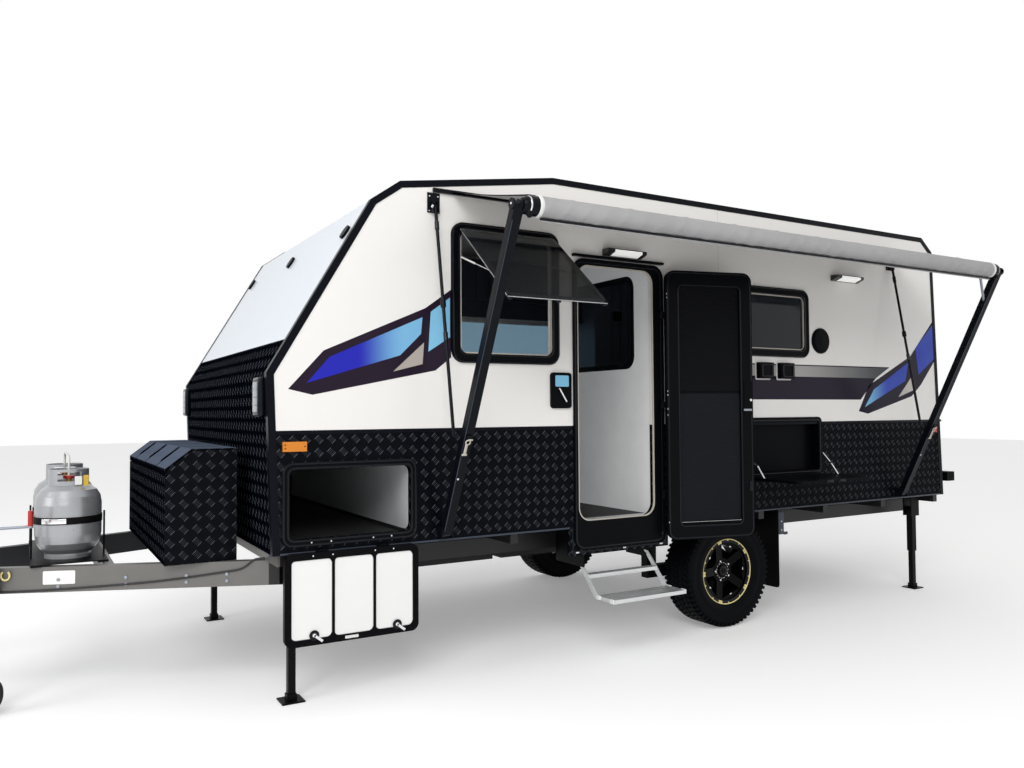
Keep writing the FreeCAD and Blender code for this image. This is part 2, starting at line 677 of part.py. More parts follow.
def door_hinges():
    """Three knuckle hinges on the door's rear edge."""
    x, y = HINGE
    fixed = [((x - d.hingePin, y), (x + d.hingePin, -FRAME_FACE))]
    heights = spread(d.leafLow, d.leafTop - d.leafLow, 3)
    return [(z,) + hinge("DoorHinge%d" % i, "XY", z, HINGE, fixed, [])
            for i, z in enumerate(heights)]


def door_frame(hinges):
    outer = rounded(d.doorFront - d.doorFrameFront, above(d.doorFrameLow),
                    DOOR_REAR + d.doorFrameRear, above(d.doorFrameTop), d.doorRound)
    hole = opening(d.doorFront, d.doorSill, d.doorWide, d.doorTop, d.doorRound)
    ring = slab("DoorFrame", "XZ", [outer, hole], d.doorFrameProud,
                (ZERO, -FRAME_FACE, d.couplingHeight))
    pieces = [piece for z, carrier, knuckle in hinges for piece in carrier]
    node("door_frame", fused("DoorFrameWhole", [ring] + pieces))


def door_leaf(hinges):
    """The leaf, drawn shut about its hinge line and then swung open."""
    near = d.hingeGap
    far = d.hingeGap + d.leafWide
    low, top = d.leafLow - d.couplingHeight, d.leafTop - d.couplingHeight
    edge = rounded(near, low, far, top, d.leafRound)
    mesh = rect(near + d.screenMargin, above(d.screenLow), far - d.screenMargin, above(d.screenTop))
    lock_far = far - d.lockCaseIn
    lock = rect(lock_far - d.lockCaseWide, above(d.lockCaseLow), lock_far,
                above(d.lockCaseLow + d.lockCaseTall))
    swing = (V(0, 0, 1), -d.leafSwing)
    at = (HINGE[0], HINGE[1], d.couplingHeight)
    pieces = []
    for name, outlines, depth in (("Frame", [edge, mesh], d.leafThick),
                                  ("Screen", [mesh], d.leafThick / 2),
                                  ("Lock", [lock], d.leafThick + d.lockCaseProud)):
        part = slab("DoorLeaf" + name, "XZ", outlines, depth, at, swing)
        part.Tip.Reversed = False
        pieces.append(part)
    length = d.hingeLong - 2 * (d.hingeCollar + d.fit)
    strap = [rect(d.hingePin + d.pinFit, -2 * d.hingeStrap, d.hingeGap + d.hingeStrap, ZERO)]
    for i, (z, carrier, knuckle) in enumerate(hinges):
        place_on = (HINGE[0], HINGE[1], z + d.hingeCollar + d.fit)
        pieces += [knuckle, slab("DoorStrap%d" % i, "XY", strap, length, place_on, swing)]
    node("door_leaf", fused("DoorLeaf", pieces))


def door():
    hinges = door_hinges()
    door_frame(hinges)
    door_leaf(hinges)


# Windows

def window_ring(name, front, low, wide, top, far):
    outer = rounded(front - d.windowEdge, above(low - d.windowEdge), front + wide + d.windowEdge,
                    above(top + d.windowEdge), d.windowRound + d.windowEdge / 2)
    hole = opening(front, low, wide, top, d.windowRound)
    start = HALF if far else -(HALF + d.windowProud)
    return slab(name, "XZ", [outer, hole], d.windowProud, (ZERO, start, d.couplingHeight))


def window_pane(name, front, low, wide, top, far):
    outline = rounded(front + d.fit, above(low + d.fit), front + wide - d.fit, above(top - d.fit),
                      d.windowRound)
    start = HALF - d.paneThick - d.fit if far else -(HALF - d.fit)
    return slab(name, "XZ", [outline], d.paneThick, (ZERO, start, d.couplingHeight))


def windows():
    spots = [("Main", d.windowFront, d.windowLow, d.windowWide, d.windowTop, False),
             ("Small", d.smallFront, d.smallLow, d.smallWide, d.smallTop, False),
             ("FarFront", d.farFront, d.windowLow, d.farWide, d.windowTop, True),
             ("FarRear", d.farRearFront, d.windowLow, d.farRearWide, d.windowTop, True)]
    rings = [window_ring("Ring" + name, a, b, c, e, far)
             for name, a, b, c, e, far in spots]
    panes = [window_pane("Pane" + name, a, b, c, e, far)
             for name, a, b, c, e, far in spots[1:]]
    node("window_frames", together("WindowFrames", rings))
    node("window_panes", together("WindowPanes", panes))
    sash = rounded(d.windowFront - d.sashMargin, -d.sashTall, d.windowFront + d.windowWide
                   + d.sashMargin, ZERO - d.fit, d.windowRound)
    seat = HALF + d.windowProud + d.fit + d.paneThick * cosine(d.sashAngle)
    at = (ZERO, -seat, d.windowTop + d.windowEdge / 2)
    node("window_sash", slab("WindowSash", "XZ", [sash], d.paneThick, at,
                             (V(1, 0, 0), -d.sashAngle)))


# Tunnel boot

def boot_frame(name, far):
    outer = rounded(d.bootFront - d.bootEdge, above(d.bootLow - d.bootEdge),
                    d.bootFront + d.bootWide + d.bootEdge, above(d.bootTop + d.bootEdge),
                    d.bootRound + d.bootEdge / 2)
    hole = opening(d.bootFront, d.bootLow, d.bootWide, d.bootTop, d.bootRound)
    start = HALF if far else -(HALF + d.bootProud)
    return slab(name, "XZ", [outer, hole], d.bootProud, (ZERO, start, d.couplingHeight))


def boot_leaf(name, shut):
    """A boot door about its hinge line, hanging open or shut: three panels in a frame."""
    front = d.bootFront - d.bootEdge + d.bootLeafGap
    rear = d.bootFront + d.bootWide + d.bootEdge - d.bootLeafGap
    low = d.bootLeafGap if shut else -(d.bootLeafGap + d.bootLeafTall)
    inner = d.bootLeafThick - (d.bootPivotOut - d.bootProud - d.movingGap)
    y = -(HALF + d.bootPivotOut) - d.bootLeafThick + inner
    if shut:
        y = HALF + d.bootProud + d.movingGap
    edge = rounded(front, low, rear, low + d.bootLeafTall, d.bootRound)
    wide = (rear - front - 2 * d.bootLeafRim - 2 * d.bootLeafBar) / 3
    panels = []
    for i in range(3):
        start = front + d.bootLeafRim + (wide + d.bootLeafBar) * i
        panels.append(rect(start, low + d.bootLeafRim, start + wide, low + d.bootLeafTall
                           - d.bootLeafRim))
    back = slab(name + "Back", "XZ", [edge], d.bootLeafThick - d.bootLeafRecess,
                (ZERO, y + d.bootLeafRecess, d.bootPivotHeight))
    rim = slab(name + "Rim", "XZ", [edge] + panels, d.bootLeafRecess, (ZERO, y, d.bootPivotHeight))
    return [back, rim]


def boot_hinges(name, sign, shut):
    """Two knuckle hinges under a boot frame."""
    y, z = sign * (HALF + d.bootPivotOut), d.bootPivotHeight
    wall_y = sign * HALF
    fixed = [((min(y, wall_y), z - d.hingePin), (max(y, wall_y), z + d.hingePin))]
    reach = d.bootLeafGap + d.hingeKnuckle
    span = (z, z + reach) if shut else (z - reach, z)
    moving = [((y - d.hingeStrap, span[0]), (y + d.hingeStrap, span[1]))]
    return [hinge("%s%d" % (name, i), "YZ", x, (y, z), fixed, moving)
            for i, x in enumerate(spread(d.bootFront, d.bootWide, 2))]


def boot():
    frames = []
    for side, sign, shut in (("near", -1, False), ("far", 1, True)):
        pairs = boot_hinges("BootHinge" + side, sign, shut)
        leaf = boot_leaf("BootLeafPanel" + side, shut)
        node("boot_leaf_" + side, fused("BootLeaf" + side, leaf + [pair[1] for pair in pairs]))
        frames.append(boot_frame("BootFrame" + side, shut))
        for i, (carrier, knuckle) in enumerate(pairs):
            frames.append(fused("BootHingeFixed%s%d" % (side, i), carrier))
    node("boot_frames", together("BootFrames", frames))
    outer = rect(d.bootFront - d.linerThick, above(FLOOR_TOP), d.bootFront + d.bootWide
                 + d.linerThick, above(d.bootTop + d.linerThick))
    hole = rect(d.bootFront, above(FLOOR_TOP + d.linerThick), d.bootFront + d.bootWide,
                above(d.bootTop))
    node("boot_liner", slab("BootLiner", "XZ", [outer, hole], 2 * WALL_IN,
                            (ZERO, -WALL_IN, d.couplingHeight)))


# Picnic table

def table():
    face_y = -(HALF + d.tableProud)
    hole = rounded(d.tableFront + d.tableEdge + d.tableSkin,
                   above(d.tableLow + d.tableEdge + d.tableSkin),
                   d.tableFront + d.tableWide - d.tableEdge - d.tableSkin,
                   above(d.tableTop - d.tableEdge - d.tableSkin), d.tableRound)
    outer = rounded(d.tableFront, above(d.tableLow), d.tableFront + d.tableWide,
                    above(d.tableTop), d.tableRound + d.tableEdge / 2)
    ring = slab("TableRing", "XZ", [outer, hole], d.tableProud, (ZERO, face_y, d.couplingHeight))
    tray = slab("TableTray", "XZ", [rounded(d.tableFront + d.tableEdge + d.fit,
                                            above(d.tableLow + d.tableEdge + d.fit),
                                            d.tableFront + d.tableWide - d.tableEdge - d.fit,
                                            above(d.tableTop - d.tableEdge - d.fit),
                                            d.tableRound)],
                d.tableDeep, (ZERO, -HALF, d.couplingHeight))
    room = slab("TableRoom", "XZ", [hole], d.tableDeep - d.tableSkin,
                (ZERO, -HALF, d.couplingHeight))
    housing = fused("TableHousingBox", [ring, cut("TableBox", tray, room)])
    pivot_y, pivot_z = -(HALF + d.tablePivotOut), d.tableLow - d.movingGap
    fixed = [((pivot_y, pivot_z - d.hingePin), (-HALF, pivot_z + d.hingePin))]
    moving = [((pivot_y - d.movingGap - d.hingeKnuckle, pivot_z - d.hingeStrap),
               (pivot_y, pivot_z + d.hingeStrap))]
    pairs = [hinge("TableHinge%d" % i, "YZ", x, (pivot_y, pivot_z), fixed, moving)
             for i, x in enumerate(spread(d.tableFront, d.tableWide, 2))]
    carriers = [fused("TableHingeFixed%d" % i, pair[0]) for i, pair in enumerate(pairs)]
    node("table_housing", together("TableHousing", [housing] + carriers))
    leaf = rounded(d.tableFront + d.movingGap, -(d.tableLeafDeep + d.movingGap),
                   d.tableFront + d.tableWide - d.movingGap, -d.movingGap, d.tableRound)
    panel = slab("TablePanel", "XY", [leaf], d.tableLeafThick,
                 (ZERO, pivot_y, pivot_z - d.tableLeafThick / 2))
    node("table_leaf", fused("TableLeaf", [panel] + [pair[1] for pair in pairs]))


# Awning

RAFTER_KNOB_SHARE = 0.45
ARM_FOOT_Y = -(HALF + d.armFootOut)
ROLLER = (ARM_FOOT_Y - d.armLength * sine(d.awningLean),
          d.armFootHeight + d.armLength * cosine(d.awningLean))


def swung(name, bar, pivot, eye, wide, pin):
    """A bar with a round bored eye about its pivot, which runs along X."""
    start = pivot[0] - wide / 2
    ring = rod(name + "Eye", (start, pivot[1], pivot[2]), eye, wide, "X")
    bore = rod(name + "Bore", (start, pivot[1], pivot[2]), pin + d.pinFit, wide, "X")
    return cut(name, fused(name + "Bar", [bar, ring]), bore)


def clevis(name, pivot, wide, eye, pin, tall):
    """Two cheeks and a pin that carry an eye against the side wall."""
    inner = wide / 2 + d.cheekGap
    reach = -HALF - pivot[1] + eye
    cheeks = [block("%sCheek%d" % (name, i), (pivot[0] + x, pivot[1] - eye, pivot[2] - tall / 2),
                    (d.cheekThick, reach, tall))
              for i, x in enumerate((-inner - d.cheekThick, inner))]
    bar = rod(name + "Pin", (pivot[0] - inner, pivot[1], pivot[2]), pin, 2 * inner, "X")
    return fused(name, cheeks + [bar])


def along_arm(pivot, distance):
    """A point on an arm's centre line, counted from its foot."""
    return (pivot[0], pivot[1] - distance * sine(d.awningLean),
            pivot[2] + distance * cosine(d.awningLean))


def arm(name, pivot):
    """A box-section arm with its foot eye, a latch on its face and a knob at its head."""
    turn = (V(1, 0, 0), d.awningLean)
    outline = rect(-d.armWide / 2, -d.armDeep / 2, d.armWide / 2, d.armDeep / 2)
    bar = slab(name + "Tube", "XY", [outline], d.armLength, pivot, turn)
    latch = rect(-d.latchWide / 2, -d.armDeep / 2 - d.latchProud, d.latchWide / 2, ZERO)
    grip = slab(name + "Latch", "XY", [latch], d.latchLong, along_arm(pivot, d.latchReach), turn)
    core = fused(name + "Core", [bar, grip])
    return swung(name, core, pivot, d.armDeep / 2, d.armWide, d.armPin)


def rafter(name, pivot):
    """A round rafter that hangs from its eye, with the knob that locks its length."""
    turn = (V(1, 0, 0), -d.rafterLean)
    bar = slab(name + "Tube", "XY", [disc(ZERO, ZERO, d.rafterRadius)], d.rafterLength, pivot, turn)
    bar.Tip.Reversed = True
    reach = d.rafterLength * RAFTER_KNOB_SHARE
    at = (pivot[0], pivot[1] - reach * sine(d.rafterLean), pivot[2] - reach * cosine(d.rafterLean))
    knob = slab(name + "Knob", "XY", [disc(ZERO, ZERO, d.knobRadius)], d.knobLong, at, turn)
    core = fused(name + "Core", [bar, knob])
    return swung(name, core, pivot, d.rafterEye, 2 * d.rafterRadius, d.rafterPin)


def roller(xs):
    """The roll that carries the cloth, between the torsion heads of the two arms."""
    at = (ROLLER[0], ROLLER[1])
    head = rod("TorsionHeads", (xs[0], at[0], at[1]), d.torsionRadius, d.armSpan, "X")
    roll = rod("AwningRoll", (xs[0] + d.rollerOverhang, at[0], at[1]), d.rollerRadius,
               d.armSpan - 2 * d.rollerOverhang, "X")
    caps = [rod("ArmCap%d" % i, (x, at[0], at[1]), d.armWide / 2, d.capThick, "X")
            for i, x in enumerate((xs[0] - d.armWide / 2 - d.capThick, xs[1] + d.armWide / 2))]
    return [head, roll] + caps


def awning():
    """Two arms that carry the roller, the rafters that steady them, and the wall rail."""
    xs = (d.armFront, d.armFront + d.armSpan)
    feet = [(x, ARM_FOOT_Y, d.armFootHeight) for x in xs]
    tops = [(x - d.rafterOffset, -(HALF + d.rafterTopOut), d.rafterTopHeight) for x in xs]
    arms = [arm("AwningArm%d" % i, foot) for i, foot in enumerate(feet)]
    node("awning_arms", fused("AwningArms", arms + roller(xs)))
    rafters = [rafter("Rafter%d" % i, top) for i, top in enumerate(tops)]
    node("awning_rafters", together("AwningRafters", rafters))
    carriers = [clevis("ArmFoot%d" % i, foot, d.armWide, d.armDeep / 2, d.armPin, d.footTall)
                for i, foot in enumerate(feet)]
    for i, top in enumerate(tops):
        ears = clevis("RafterHead%d" % i, top, 2 * d.rafterRadius, d.rafterEye, d.rafterPin,
                      d.footTall)
        plate = block("RafterPlate%d" % i, (top[0] - d.headPlateWide / 2, -(HALF + d.headPlateThick),
                                            top[2] - d.footTall / 2),
                      (d.headPlateWide, d.headPlateThick, d.headPlateTall))
        carriers.append(fused("RafterSeat%d" % i, [ears, plate]))
    rail = block("AwningRail", (d.armFront - d.armWide, -(HALF + d.awningRailOut),
                                d.awningRailHeight - d.awningRailTall / 2),
                 (d.armSpan + 2 * d.armWide, d.awningRailOut, d.awningRailTall))
    node("awning_brackets", together("AwningBrackets", carriers + [rail]))
    node("awning_fabric", shaped("AwningFabric", fabric()))


def fabric():
    """The sheet between the wall rail and the roller, a thin flat solid."""
    y0, z0 = -(HALF + d.awningRailOut + d.fit), above(d.awningRailHeight)
    y1, z1 = ROLLER[0], above(ROLLER[1]) + d.rollerRadius + d.fit
    start = d.armFront + d.rollerOverhang
    reach = V(0, y1 - y0, z1 - z0)
    up = V(1, 0, 0).cross(reach).normalize() * -float(d.fabricThick)
    corner = V(start, y0, z0)
    spots = [corner, corner + reach, corner + reach + up, corner + up]
    flat = Part.Face(Part.makePolygon(spots + spots[:1]))
    return flat.extrude(V(d.armSpan - 2 * d.rollerOverhang, 0, 0))


# Drawbar load: toolbox and gas bottles

LID_RIB_SHARES = (0.2, 0.92)
BOTTLE_HEAD_SHARES = ((1, 1), (0.96, 0.58), (0.84, 0.24), (0.63, 0))


def lid_rib(name, y):
    """A raised rib pressed up the lid's slope."""
    run, rise = d.toolboxShelf, d.toolboxTop - d.toolboxShoulder
    (x0, z0), (x1, z1) = [(d.toolboxFront + run * share, d.toolboxShoulder + rise * share)
                          for share in LID_RIB_SHARES]
    outline = poly(*in_frame([(x0, z0 - d.toolboxSkin), (x1, z1 - d.toolboxSkin),
                              (x1, z1 + d.ribProud), (x0, z0 + d.ribProud)]))
    return slab(name, "XZ", [outline], d.ribWide, (ZERO, y - d.ribWide / 2, d.couplingHeight))


def toolbox():
    """A tub with a folded lid whose slope and top lift together about the rear edge."""
    x0, x1 = d.toolboxFront, d.toolboxFront + d.toolboxShelf
    x2 = d.toolboxFront + d.toolboxDeep
    low, lip = CHASSIS_TOP, d.toolboxShoulder - d.toolboxLip
    skin, gap = d.toolboxSkin, d.movingGap
    behind = x0 + skin + gap
    outer = poly(*in_frame([(x0, low), (x2, low), (x2, d.toolboxTop - skin - gap),
                            (x1 + skin, d.toolboxTop - skin - gap),
                            (behind, d.toolboxShoulder - skin - gap),
                            (behind, lip - gap), (x0, lip - gap)]))
    inner = poly(*in_frame([(x0 + skin, low + skin), (x2 - skin, low + skin),
                            (x2 - skin, d.toolboxTop), (x0 + skin, d.toolboxTop)]))
    tub = slab("ToolboxTub", "XZ", [outer], 2 * d.toolboxHalf,
               (ZERO, -d.toolboxHalf, d.couplingHeight))
    room = slab("ToolboxRoom", "XZ", [inner], 2 * (d.toolboxHalf - skin),
                (ZERO, -(d.toolboxHalf - skin), d.couplingHeight))
    pivot = (x2 + d.hingeKnuckle + d.hingeStrap, d.toolboxTop - d.lidPivotDrop)
    fixed = [((x2, pivot[1] - d.hingePin), (pivot[0], pivot[1] + d.hingePin))]
    moving = [((pivot[0] - d.hingeStrap, pivot[1]), (pivot[0] + d.hingeStrap, d.toolboxTop)),
              ((x2 - skin, d.toolboxTop - skin), (pivot[0] + d.hingeStrap, d.toolboxTop))]
    pairs = [hinge("LidHinge%d" % i, "XZ", y, pivot, fixed, moving)
             for i, y in enumerate(spread(-d.toolboxHalf, 2 * d.toolboxHalf, 3))]
    carriers = [piece for pair in pairs for piece in pair[0]]
    node("toolbox", fused("Toolbox", [cut("ToolboxShell", tub, room)] + carriers))
    shell = poly(*in_frame([(x0, lip), (x0 + skin, lip), (x0 + skin, d.toolboxShoulder - skin),
                            (x1 + skin, d.toolboxTop - skin), (x2, d.toolboxTop - skin),
                            (x2, d.toolboxTop), (x1, d.toolboxTop), (x0, d.toolboxShoulder)]))
    lid = slab("ToolboxLidPanel", "XZ", [shell], 2 * d.toolboxHalf,
               (ZERO, -d.toolboxHalf, d.couplingHeight))
    ribs = [lid_rib("LidRib%d" % i, y) for i, y in enumerate((-d.ribApart, ZERO, d.ribApart))]
    node("toolbox_lid", fused("ToolboxLid", [lid] + ribs + [pair[1] for pair in pairs]))


def bottle(name, y):
    """A gas bottle: foot ring, shell with domed ends, turned in one profile."""
    r, low = d.bottleRadius, d.bottleLow
    base, top = d.footRingTall, d.bottleTop - low
    end = [(r * across, d.bottleHead * down) for across, down in BOTTLE_HEAD_SHARES]
    profile = [(ZERO, ZERO), (d.footRingRadius, ZERO), (d.footRingRadius, base)]
    profile += [(across, base + down) for across, down in reversed(end[:-1])]
    profile += [(across, top - down) for across, down in end] + [(ZERO, top)]
    return turned(name, profile, (d.bottleX, y, low), None)


def bottle_collar(name, y):
    """The guard ring with a window on each side, and the valve inside it."""
    low = d.bottleTop + d.fit
    outer = rod(name + "Outer", (d.bottleX, y, low), d.collarRadius, d.collarTall, "Z")
    inner = rod(name + "Inner", (d.bottleX, y, low), d.collarRadius - d.collarThick,
                d.collarTall, "Z")
    gap = block(name + "Gap", (d.bottleX - d.collarGap / 2, y - d.collarRadius, low + d.collarFoot),
                (d.collarGap, 2 * d.collarRadius, d.collarTall - d.collarFoot - d.collarRim))
    ring = cut(name + "Ring", outer, inner)
    body = rod(name + "Valve", (d.bottleX, y, low), d.valveRadius, d.valveTall, "Z")
    wheel = rod(name + "Wheel", (d.bottleX, y, low + d.valveTall), d.valveWheel, d.valveRadius, "Z")
    return [cut(name, ring, gap), fused(name + "ValveWhole", [body, wheel])]


def gas_bottles():
    ys = (-d.bottleApart / 2, d.bottleApart / 2)
    node("gas_bottles", together("GasBottles", [bottle("Bottle%d" % i, y)
                                                for i, y in enumerate(ys)]))
    tops = []
    for i, y in enumerate(ys):
        tops += bottle_collar("Collar%d" % i, y)
    node("bottle_collars", together("BottleCollars", tops))
    half = d.bottleRadius + d.rodGap + d.holderRadius
    low = d.bottleLow - d.trayThick
    pieces = [block("BottleTray", (d.bottleX - half, -d.traySide, low),
                    (2 * half, 2 * d.traySide, d.trayThick))]
    for i, x in enumerate((d.bottleX - half, d.bottleX + half - d.railWidth)):
        pieces.append(block("TrayFoot%d" % i, (x, -d.traySide, CHASSIS_TOP),
                            (d.railWidth, 2 * d.traySide, low - CHASSIS_TOP)))
    for i, x in enumerate((d.bottleX - half + d.holderRadius, d.bottleX + half - d.holderRadius)):
        for j, y in enumerate(ys):
            pieces.append(rod("HolderRod%d%d" % (i, j), (x, y, low), d.holderRadius,
                              d.holderTop - low, "Z"))
    node("bottle_tray", fused("BottleTrayWhole", pieces))


def beside_rail(x, height):
    """A point on the cable's line, against the outer face of the near drawbar rail."""
    slope = sine(d.drawbarAngle) / cosine(d.drawbarAngle)
    reach = d.drawbarSpread - (d.bodyFront + d.drawbarReach - x) * slope
    return (x, -(reach + (d.cableRadius + d.fit) / cosine(d.drawbarAngle)), height)


def hoses():
    """The gas hose from valve to valve, and the cable that runs back along the drawbar."""
    valve_top = d.bottleTop + d.valveTall + d.valveRadius + 2 * d.fit
    half = d.bottleApart / 2
    gas = tube([(d.bottleX, -half, valve_top), (d.bottleX, -half, d.hoseTop),
                (d.bottleX, half, d.hoseTop), (d.bottleX, half, valve_top)], d.hoseRadius)
    run = [(d.cableFront, d.cableLow), (d.cableMiddle, d.cableLow),
           (d.cableBend, d.cableBendHeight), (d.cableTurn, d.cableTurnHeight),
           (d.cableRear, d.cableRearHeight), (FLOOR_FRONT - d.cableRadius, d.cableRearHeight)]
    cable = tube([beside_rail(x, height) for x, height in run], d.cableRadius)
    node("hoses", together("Hoses", [shaped("GasHose", gas), shaped("DrawbarCable", cable)]))


# Jockey wheel

JOCKEY = (d.jockeyX, -d.jockeyOut)
JOCKEY_AXLE = (d.jockeyX - d.jockeyTrail, -d.jockeyOut, d.jockeyWheelRadius)
ROLLER_SHARES = ((0.75, -1), (1, -0.6), (1, 0.6), (0.75, 1))


def jockey_tube():
    """The clamped tube with its crank, whose grip stands up at the end."""
    x, y = JOCKEY
    tube_low = d.jockeyTubeLow
    clamp_low = CHASSIS_TOP - d.drawbarTall + d.clampMargin
    clamp_tall = d.drawbarTall - 2 * d.clampMargin
    pieces = [rod("JockeyTube", (x, y, tube_low), d.jockeyTubeRadius,
                  d.jockeyTubeTop - tube_low, "Z"),
              rod("JockeySleeve", (x, y, clamp_low), d.jockeySleeve, clamp_tall, "Z"),
              rod("JockeyCrank", (x, y, d.jockeyTubeTop - d.crankRadius), d.crankRadius,
                  d.crankReach, "X"),
              rod("JockeyGrip", (x + d.crankReach, y, d.jockeyTubeTop - 2 * d.crankRadius),
                  d.gripRadius, d.gripTall, "Z")]
    clamp = block("JockeyClamp", (x - d.jockeySleeve, y, clamp_low),
                  (2 * d.jockeySleeve, 2 * d.jockeySleeve, clamp_tall))
    clamp = cut("JockeyClampSeat", clamp, doc.getObject("DrawbarRail"))
    sleeve = cut("JockeySleeveSeat", pieces[1], doc.getObject("DrawbarRail"))
    node("jockey_tube", fused("JockeyTubeWhole", [pieces[0], sleeve, clamp] + pieces[2:]))


def jockey():
    jockey_tube()
    half = d.jockeyWheelWide / 2 + d.movingGap
    crown = d.jockeyTubeLow - d.fit
    plates = []
    for i, y in enumerate((-(half + d.jockeyPlate), half)):
        side = poly((-d.jockeyTubeRadius, crown - d.jockeyWheelRadius),
                    (-d.jockeyTrail - 2 * d.jockeyBoss, ZERO - 2 * d.jockeyBoss),
                    (d.jockeyBoss, ZERO - d.jockeyBoss),
                    (d.jockeyTubeRadius, crown - d.jockeyWheelRadius))
        plates.append(slab("ForkPlate%d" % i, "XZ", [side], d.jockeyPlate,
                           (JOCKEY[0], JOCKEY[1] + y, d.jockeyWheelRadius)))
    top = block("ForkCrown", (JOCKEY[0] - d.jockeyTubeRadius, JOCKEY[1] - half - d.jockeyPlate,
                              crown - d.jockeyPlate),
                (2 * d.jockeyTubeRadius, 2 * (half + d.jockeyPlate), d.jockeyPlate))
    pin = rod("ForkPin", (JOCKEY_AXLE[0], JOCKEY[1] - half - d.jockeyPlate, JOCKEY_AXLE[2]),
              d.jockeyBoss, 2 * (half + d.jockeyPlate), "Y")
    node("jockey_fork", fused("JockeyFork", plates + [top, pin]))
    wide = d.jockeyWheelWide / 2
    hole = d.jockeyBoss + d.spindleFit
    profile = [(hole, -wide)] + [(d.jockeyWheelRadius * across, wide * up)
                                 for across, up in ROLLER_SHARES] + [(hole, wide)]
    node("jockey_wheel", turned("JockeyWheel", profile, JOCKEY_AXLE, (V(1, 0, 0), Size(90))))


# Corner legs

def leg(name, x, sign):
    """A drop leg: outer tube on its pivot, inner tube drawn down, and the foot plate."""
    top, half, inner = d.legPivotHeight, d.legTube / 2, d.legInner / 2
    y = sign * d.legOut
    sleeve = block(name + "Sleeve", (x - half, y - half, d.legSleeveLow),
                   (d.legTube, d.legTube, top - d.legSleeveLow))
    tube_low = block(name + "Inner", (x - inner, y - inner, ZERO),
                     (d.legInner, d.legInner, d.legSleeveLow + d.legInner))
    foot = block(name + "Foot", (x - d.legFoot / 2, y - d.legFoot / 2, ZERO),
                 (d.legFoot, d.legFoot, d.legFootThick))
    socket = block(name + "Socket", (x - half, y - half, ZERO), (d.legTube, d.legTube, d.legInner))
    eye = rod(name + "Eye", (x, y - half, top), half, d.legTube, "Y")
    bore = rod(name + "Bore", (x, y - half, top), d.legPin + d.pinFit, d.legTube, "Y")
    return cut(name, fused(name + "Whole", [sleeve, tube_low, foot, socket, eye]), bore)


def leg_bracket(name, x, y):
    """Two hanger plates and the pin that carries a leg."""
    inner = d.legTube / 2 + d.movingGap
    low = d.legPivotHeight - d.legTube
    plates = [block("%sPlate%d" % (name, i), (x - d.legTube, y + shift, low),
                    (2 * d.legTube, d.legBracket, d.skirtHeight - low))
              for i, shift in enumerate((-inner - d.legBracket, inner))]
    pin = rod(name + "Pin", (x, y - inner, d.legPivotHeight), d.legPin, 2 * inner, "Y")
    return fused(name, plates + [pin])


def legs():
    brackets = []
    for label, x in (("front", d.legFront), ("rear", d.legRear)):
        for side, sign in (("near", -1), ("far", 1)):
            node("leg_%s_%s" % (label, side), leg("Leg%s%s" % (label, side), x, sign))
            brackets.append(leg_bracket("LegBracket%s%s" % (label, side), x, sign * d.legOut))
    node("leg_brackets", together("LegBrackets", brackets))


# Road wheels, hubs and trailing arms

SPOKES = 5
SPINDLE_BORE = d.hubRadius / 3
RIM_WIDTH_SHARE = 0.72
RIM_BACK_SHARE = 0.35
RIM_FACE_SHARE = 0.6
# Up the sidewall from the bead to the tread, against half the width
TYRE_SHARES = ((0, 0.72), (0.25, 0.95), (0.5, 1), (0.85, 0.93), (1, 0.7))
BELLOWS_SHARES = ((0, 0.8), (0.17, 1), (0.33, 0.8), (0.5, 1), (0.67, 0.8), (0.83, 1), (1, 0.8))


def tyre_profile():
    """Half of a tyre's section from bead to tread, and its mirror image."""
    rim, half = d.rimRadius, d.tyreWide / 2
    tall = d.tyreRadius - rim
    side = [(rim + tall * up, half * across) for up, across in TYRE_SHARES]
    return [(u, -v) for u, v in side] + side[::-1]


def rim_profile():
    """The barrel with its outer lip, and the dished disc that the spokes are cut from."""
    half, r, skin = d.tyreWide / 2 * RIM_WIDTH_SHARE, d.rimRadius - d.fit, d.rimSkin
    face_in, face_out = half * RIM_BACK_SHARE, half * RIM_FACE_SHARE
    return [(SPINDLE_BORE, face_in), (r - skin, face_in), (r - skin, -half), (r, -half),
            (r, half + skin), (r - d.rimLip, half + skin), (r - d.rimLip, half - skin),
            (d.hubPad, face_out), (SPINDLE_BORE, face_out)]


def wheel_window(reach):
    """The opening between two spokes: a wedge with its sides parallel to them."""
    step = Size(180) / SPOKES
    wide, deep = sine(step), cosine(step)
    half = d.spokeWide / 2
    corners = []
    for sign, along in ((-1, reach[0]), (-1, reach[1]), (1, reach[1]), (1, reach[0])):
        corners.append((along * deep + half * wide, (along * wide - half * deep) * sign))
    return poly(*corners)


def rim(name, at, turn):
    """One alloy wheel: a turned blank with a window pocketed between each pair of spokes."""
    body = turned(name, rim_profile(), at, turn)
    sketch = drawn(body, "XY", [wheel_window((d.hubPad, d.spokeReach))])
    pocket = body.newObject("PartDesign::Pocket", name + "Window")
    pocket.Profile = sketch
    pocket.Reversed = True
    bind(pocket, "Length", d.tyreWide)
    pattern = body.newObject("PartDesign::PolarPattern", name + "Windows")
    pattern.Originals = [pocket]
    pattern.Axis = (sketch, ["N_Axis"])
    pattern.Angle = 360
    pattern.Occurrences = SPOKES
    body.Tip = pattern
    return body


def road_wheel(side, sign):
    y = sign * (d.tyreOut - d.tyreWide / 2)
    turn = (V(1, 0, 0), Size(90) if sign < 0 else Size(-90))
    at = (d.wheelX, y, d.wheelHeight)
    node("tyre_" + side, turned("Tyre" + side, tyre_profile(), at, turn))
    node("rim_" + side, rim("Rim" + side, at, turn))


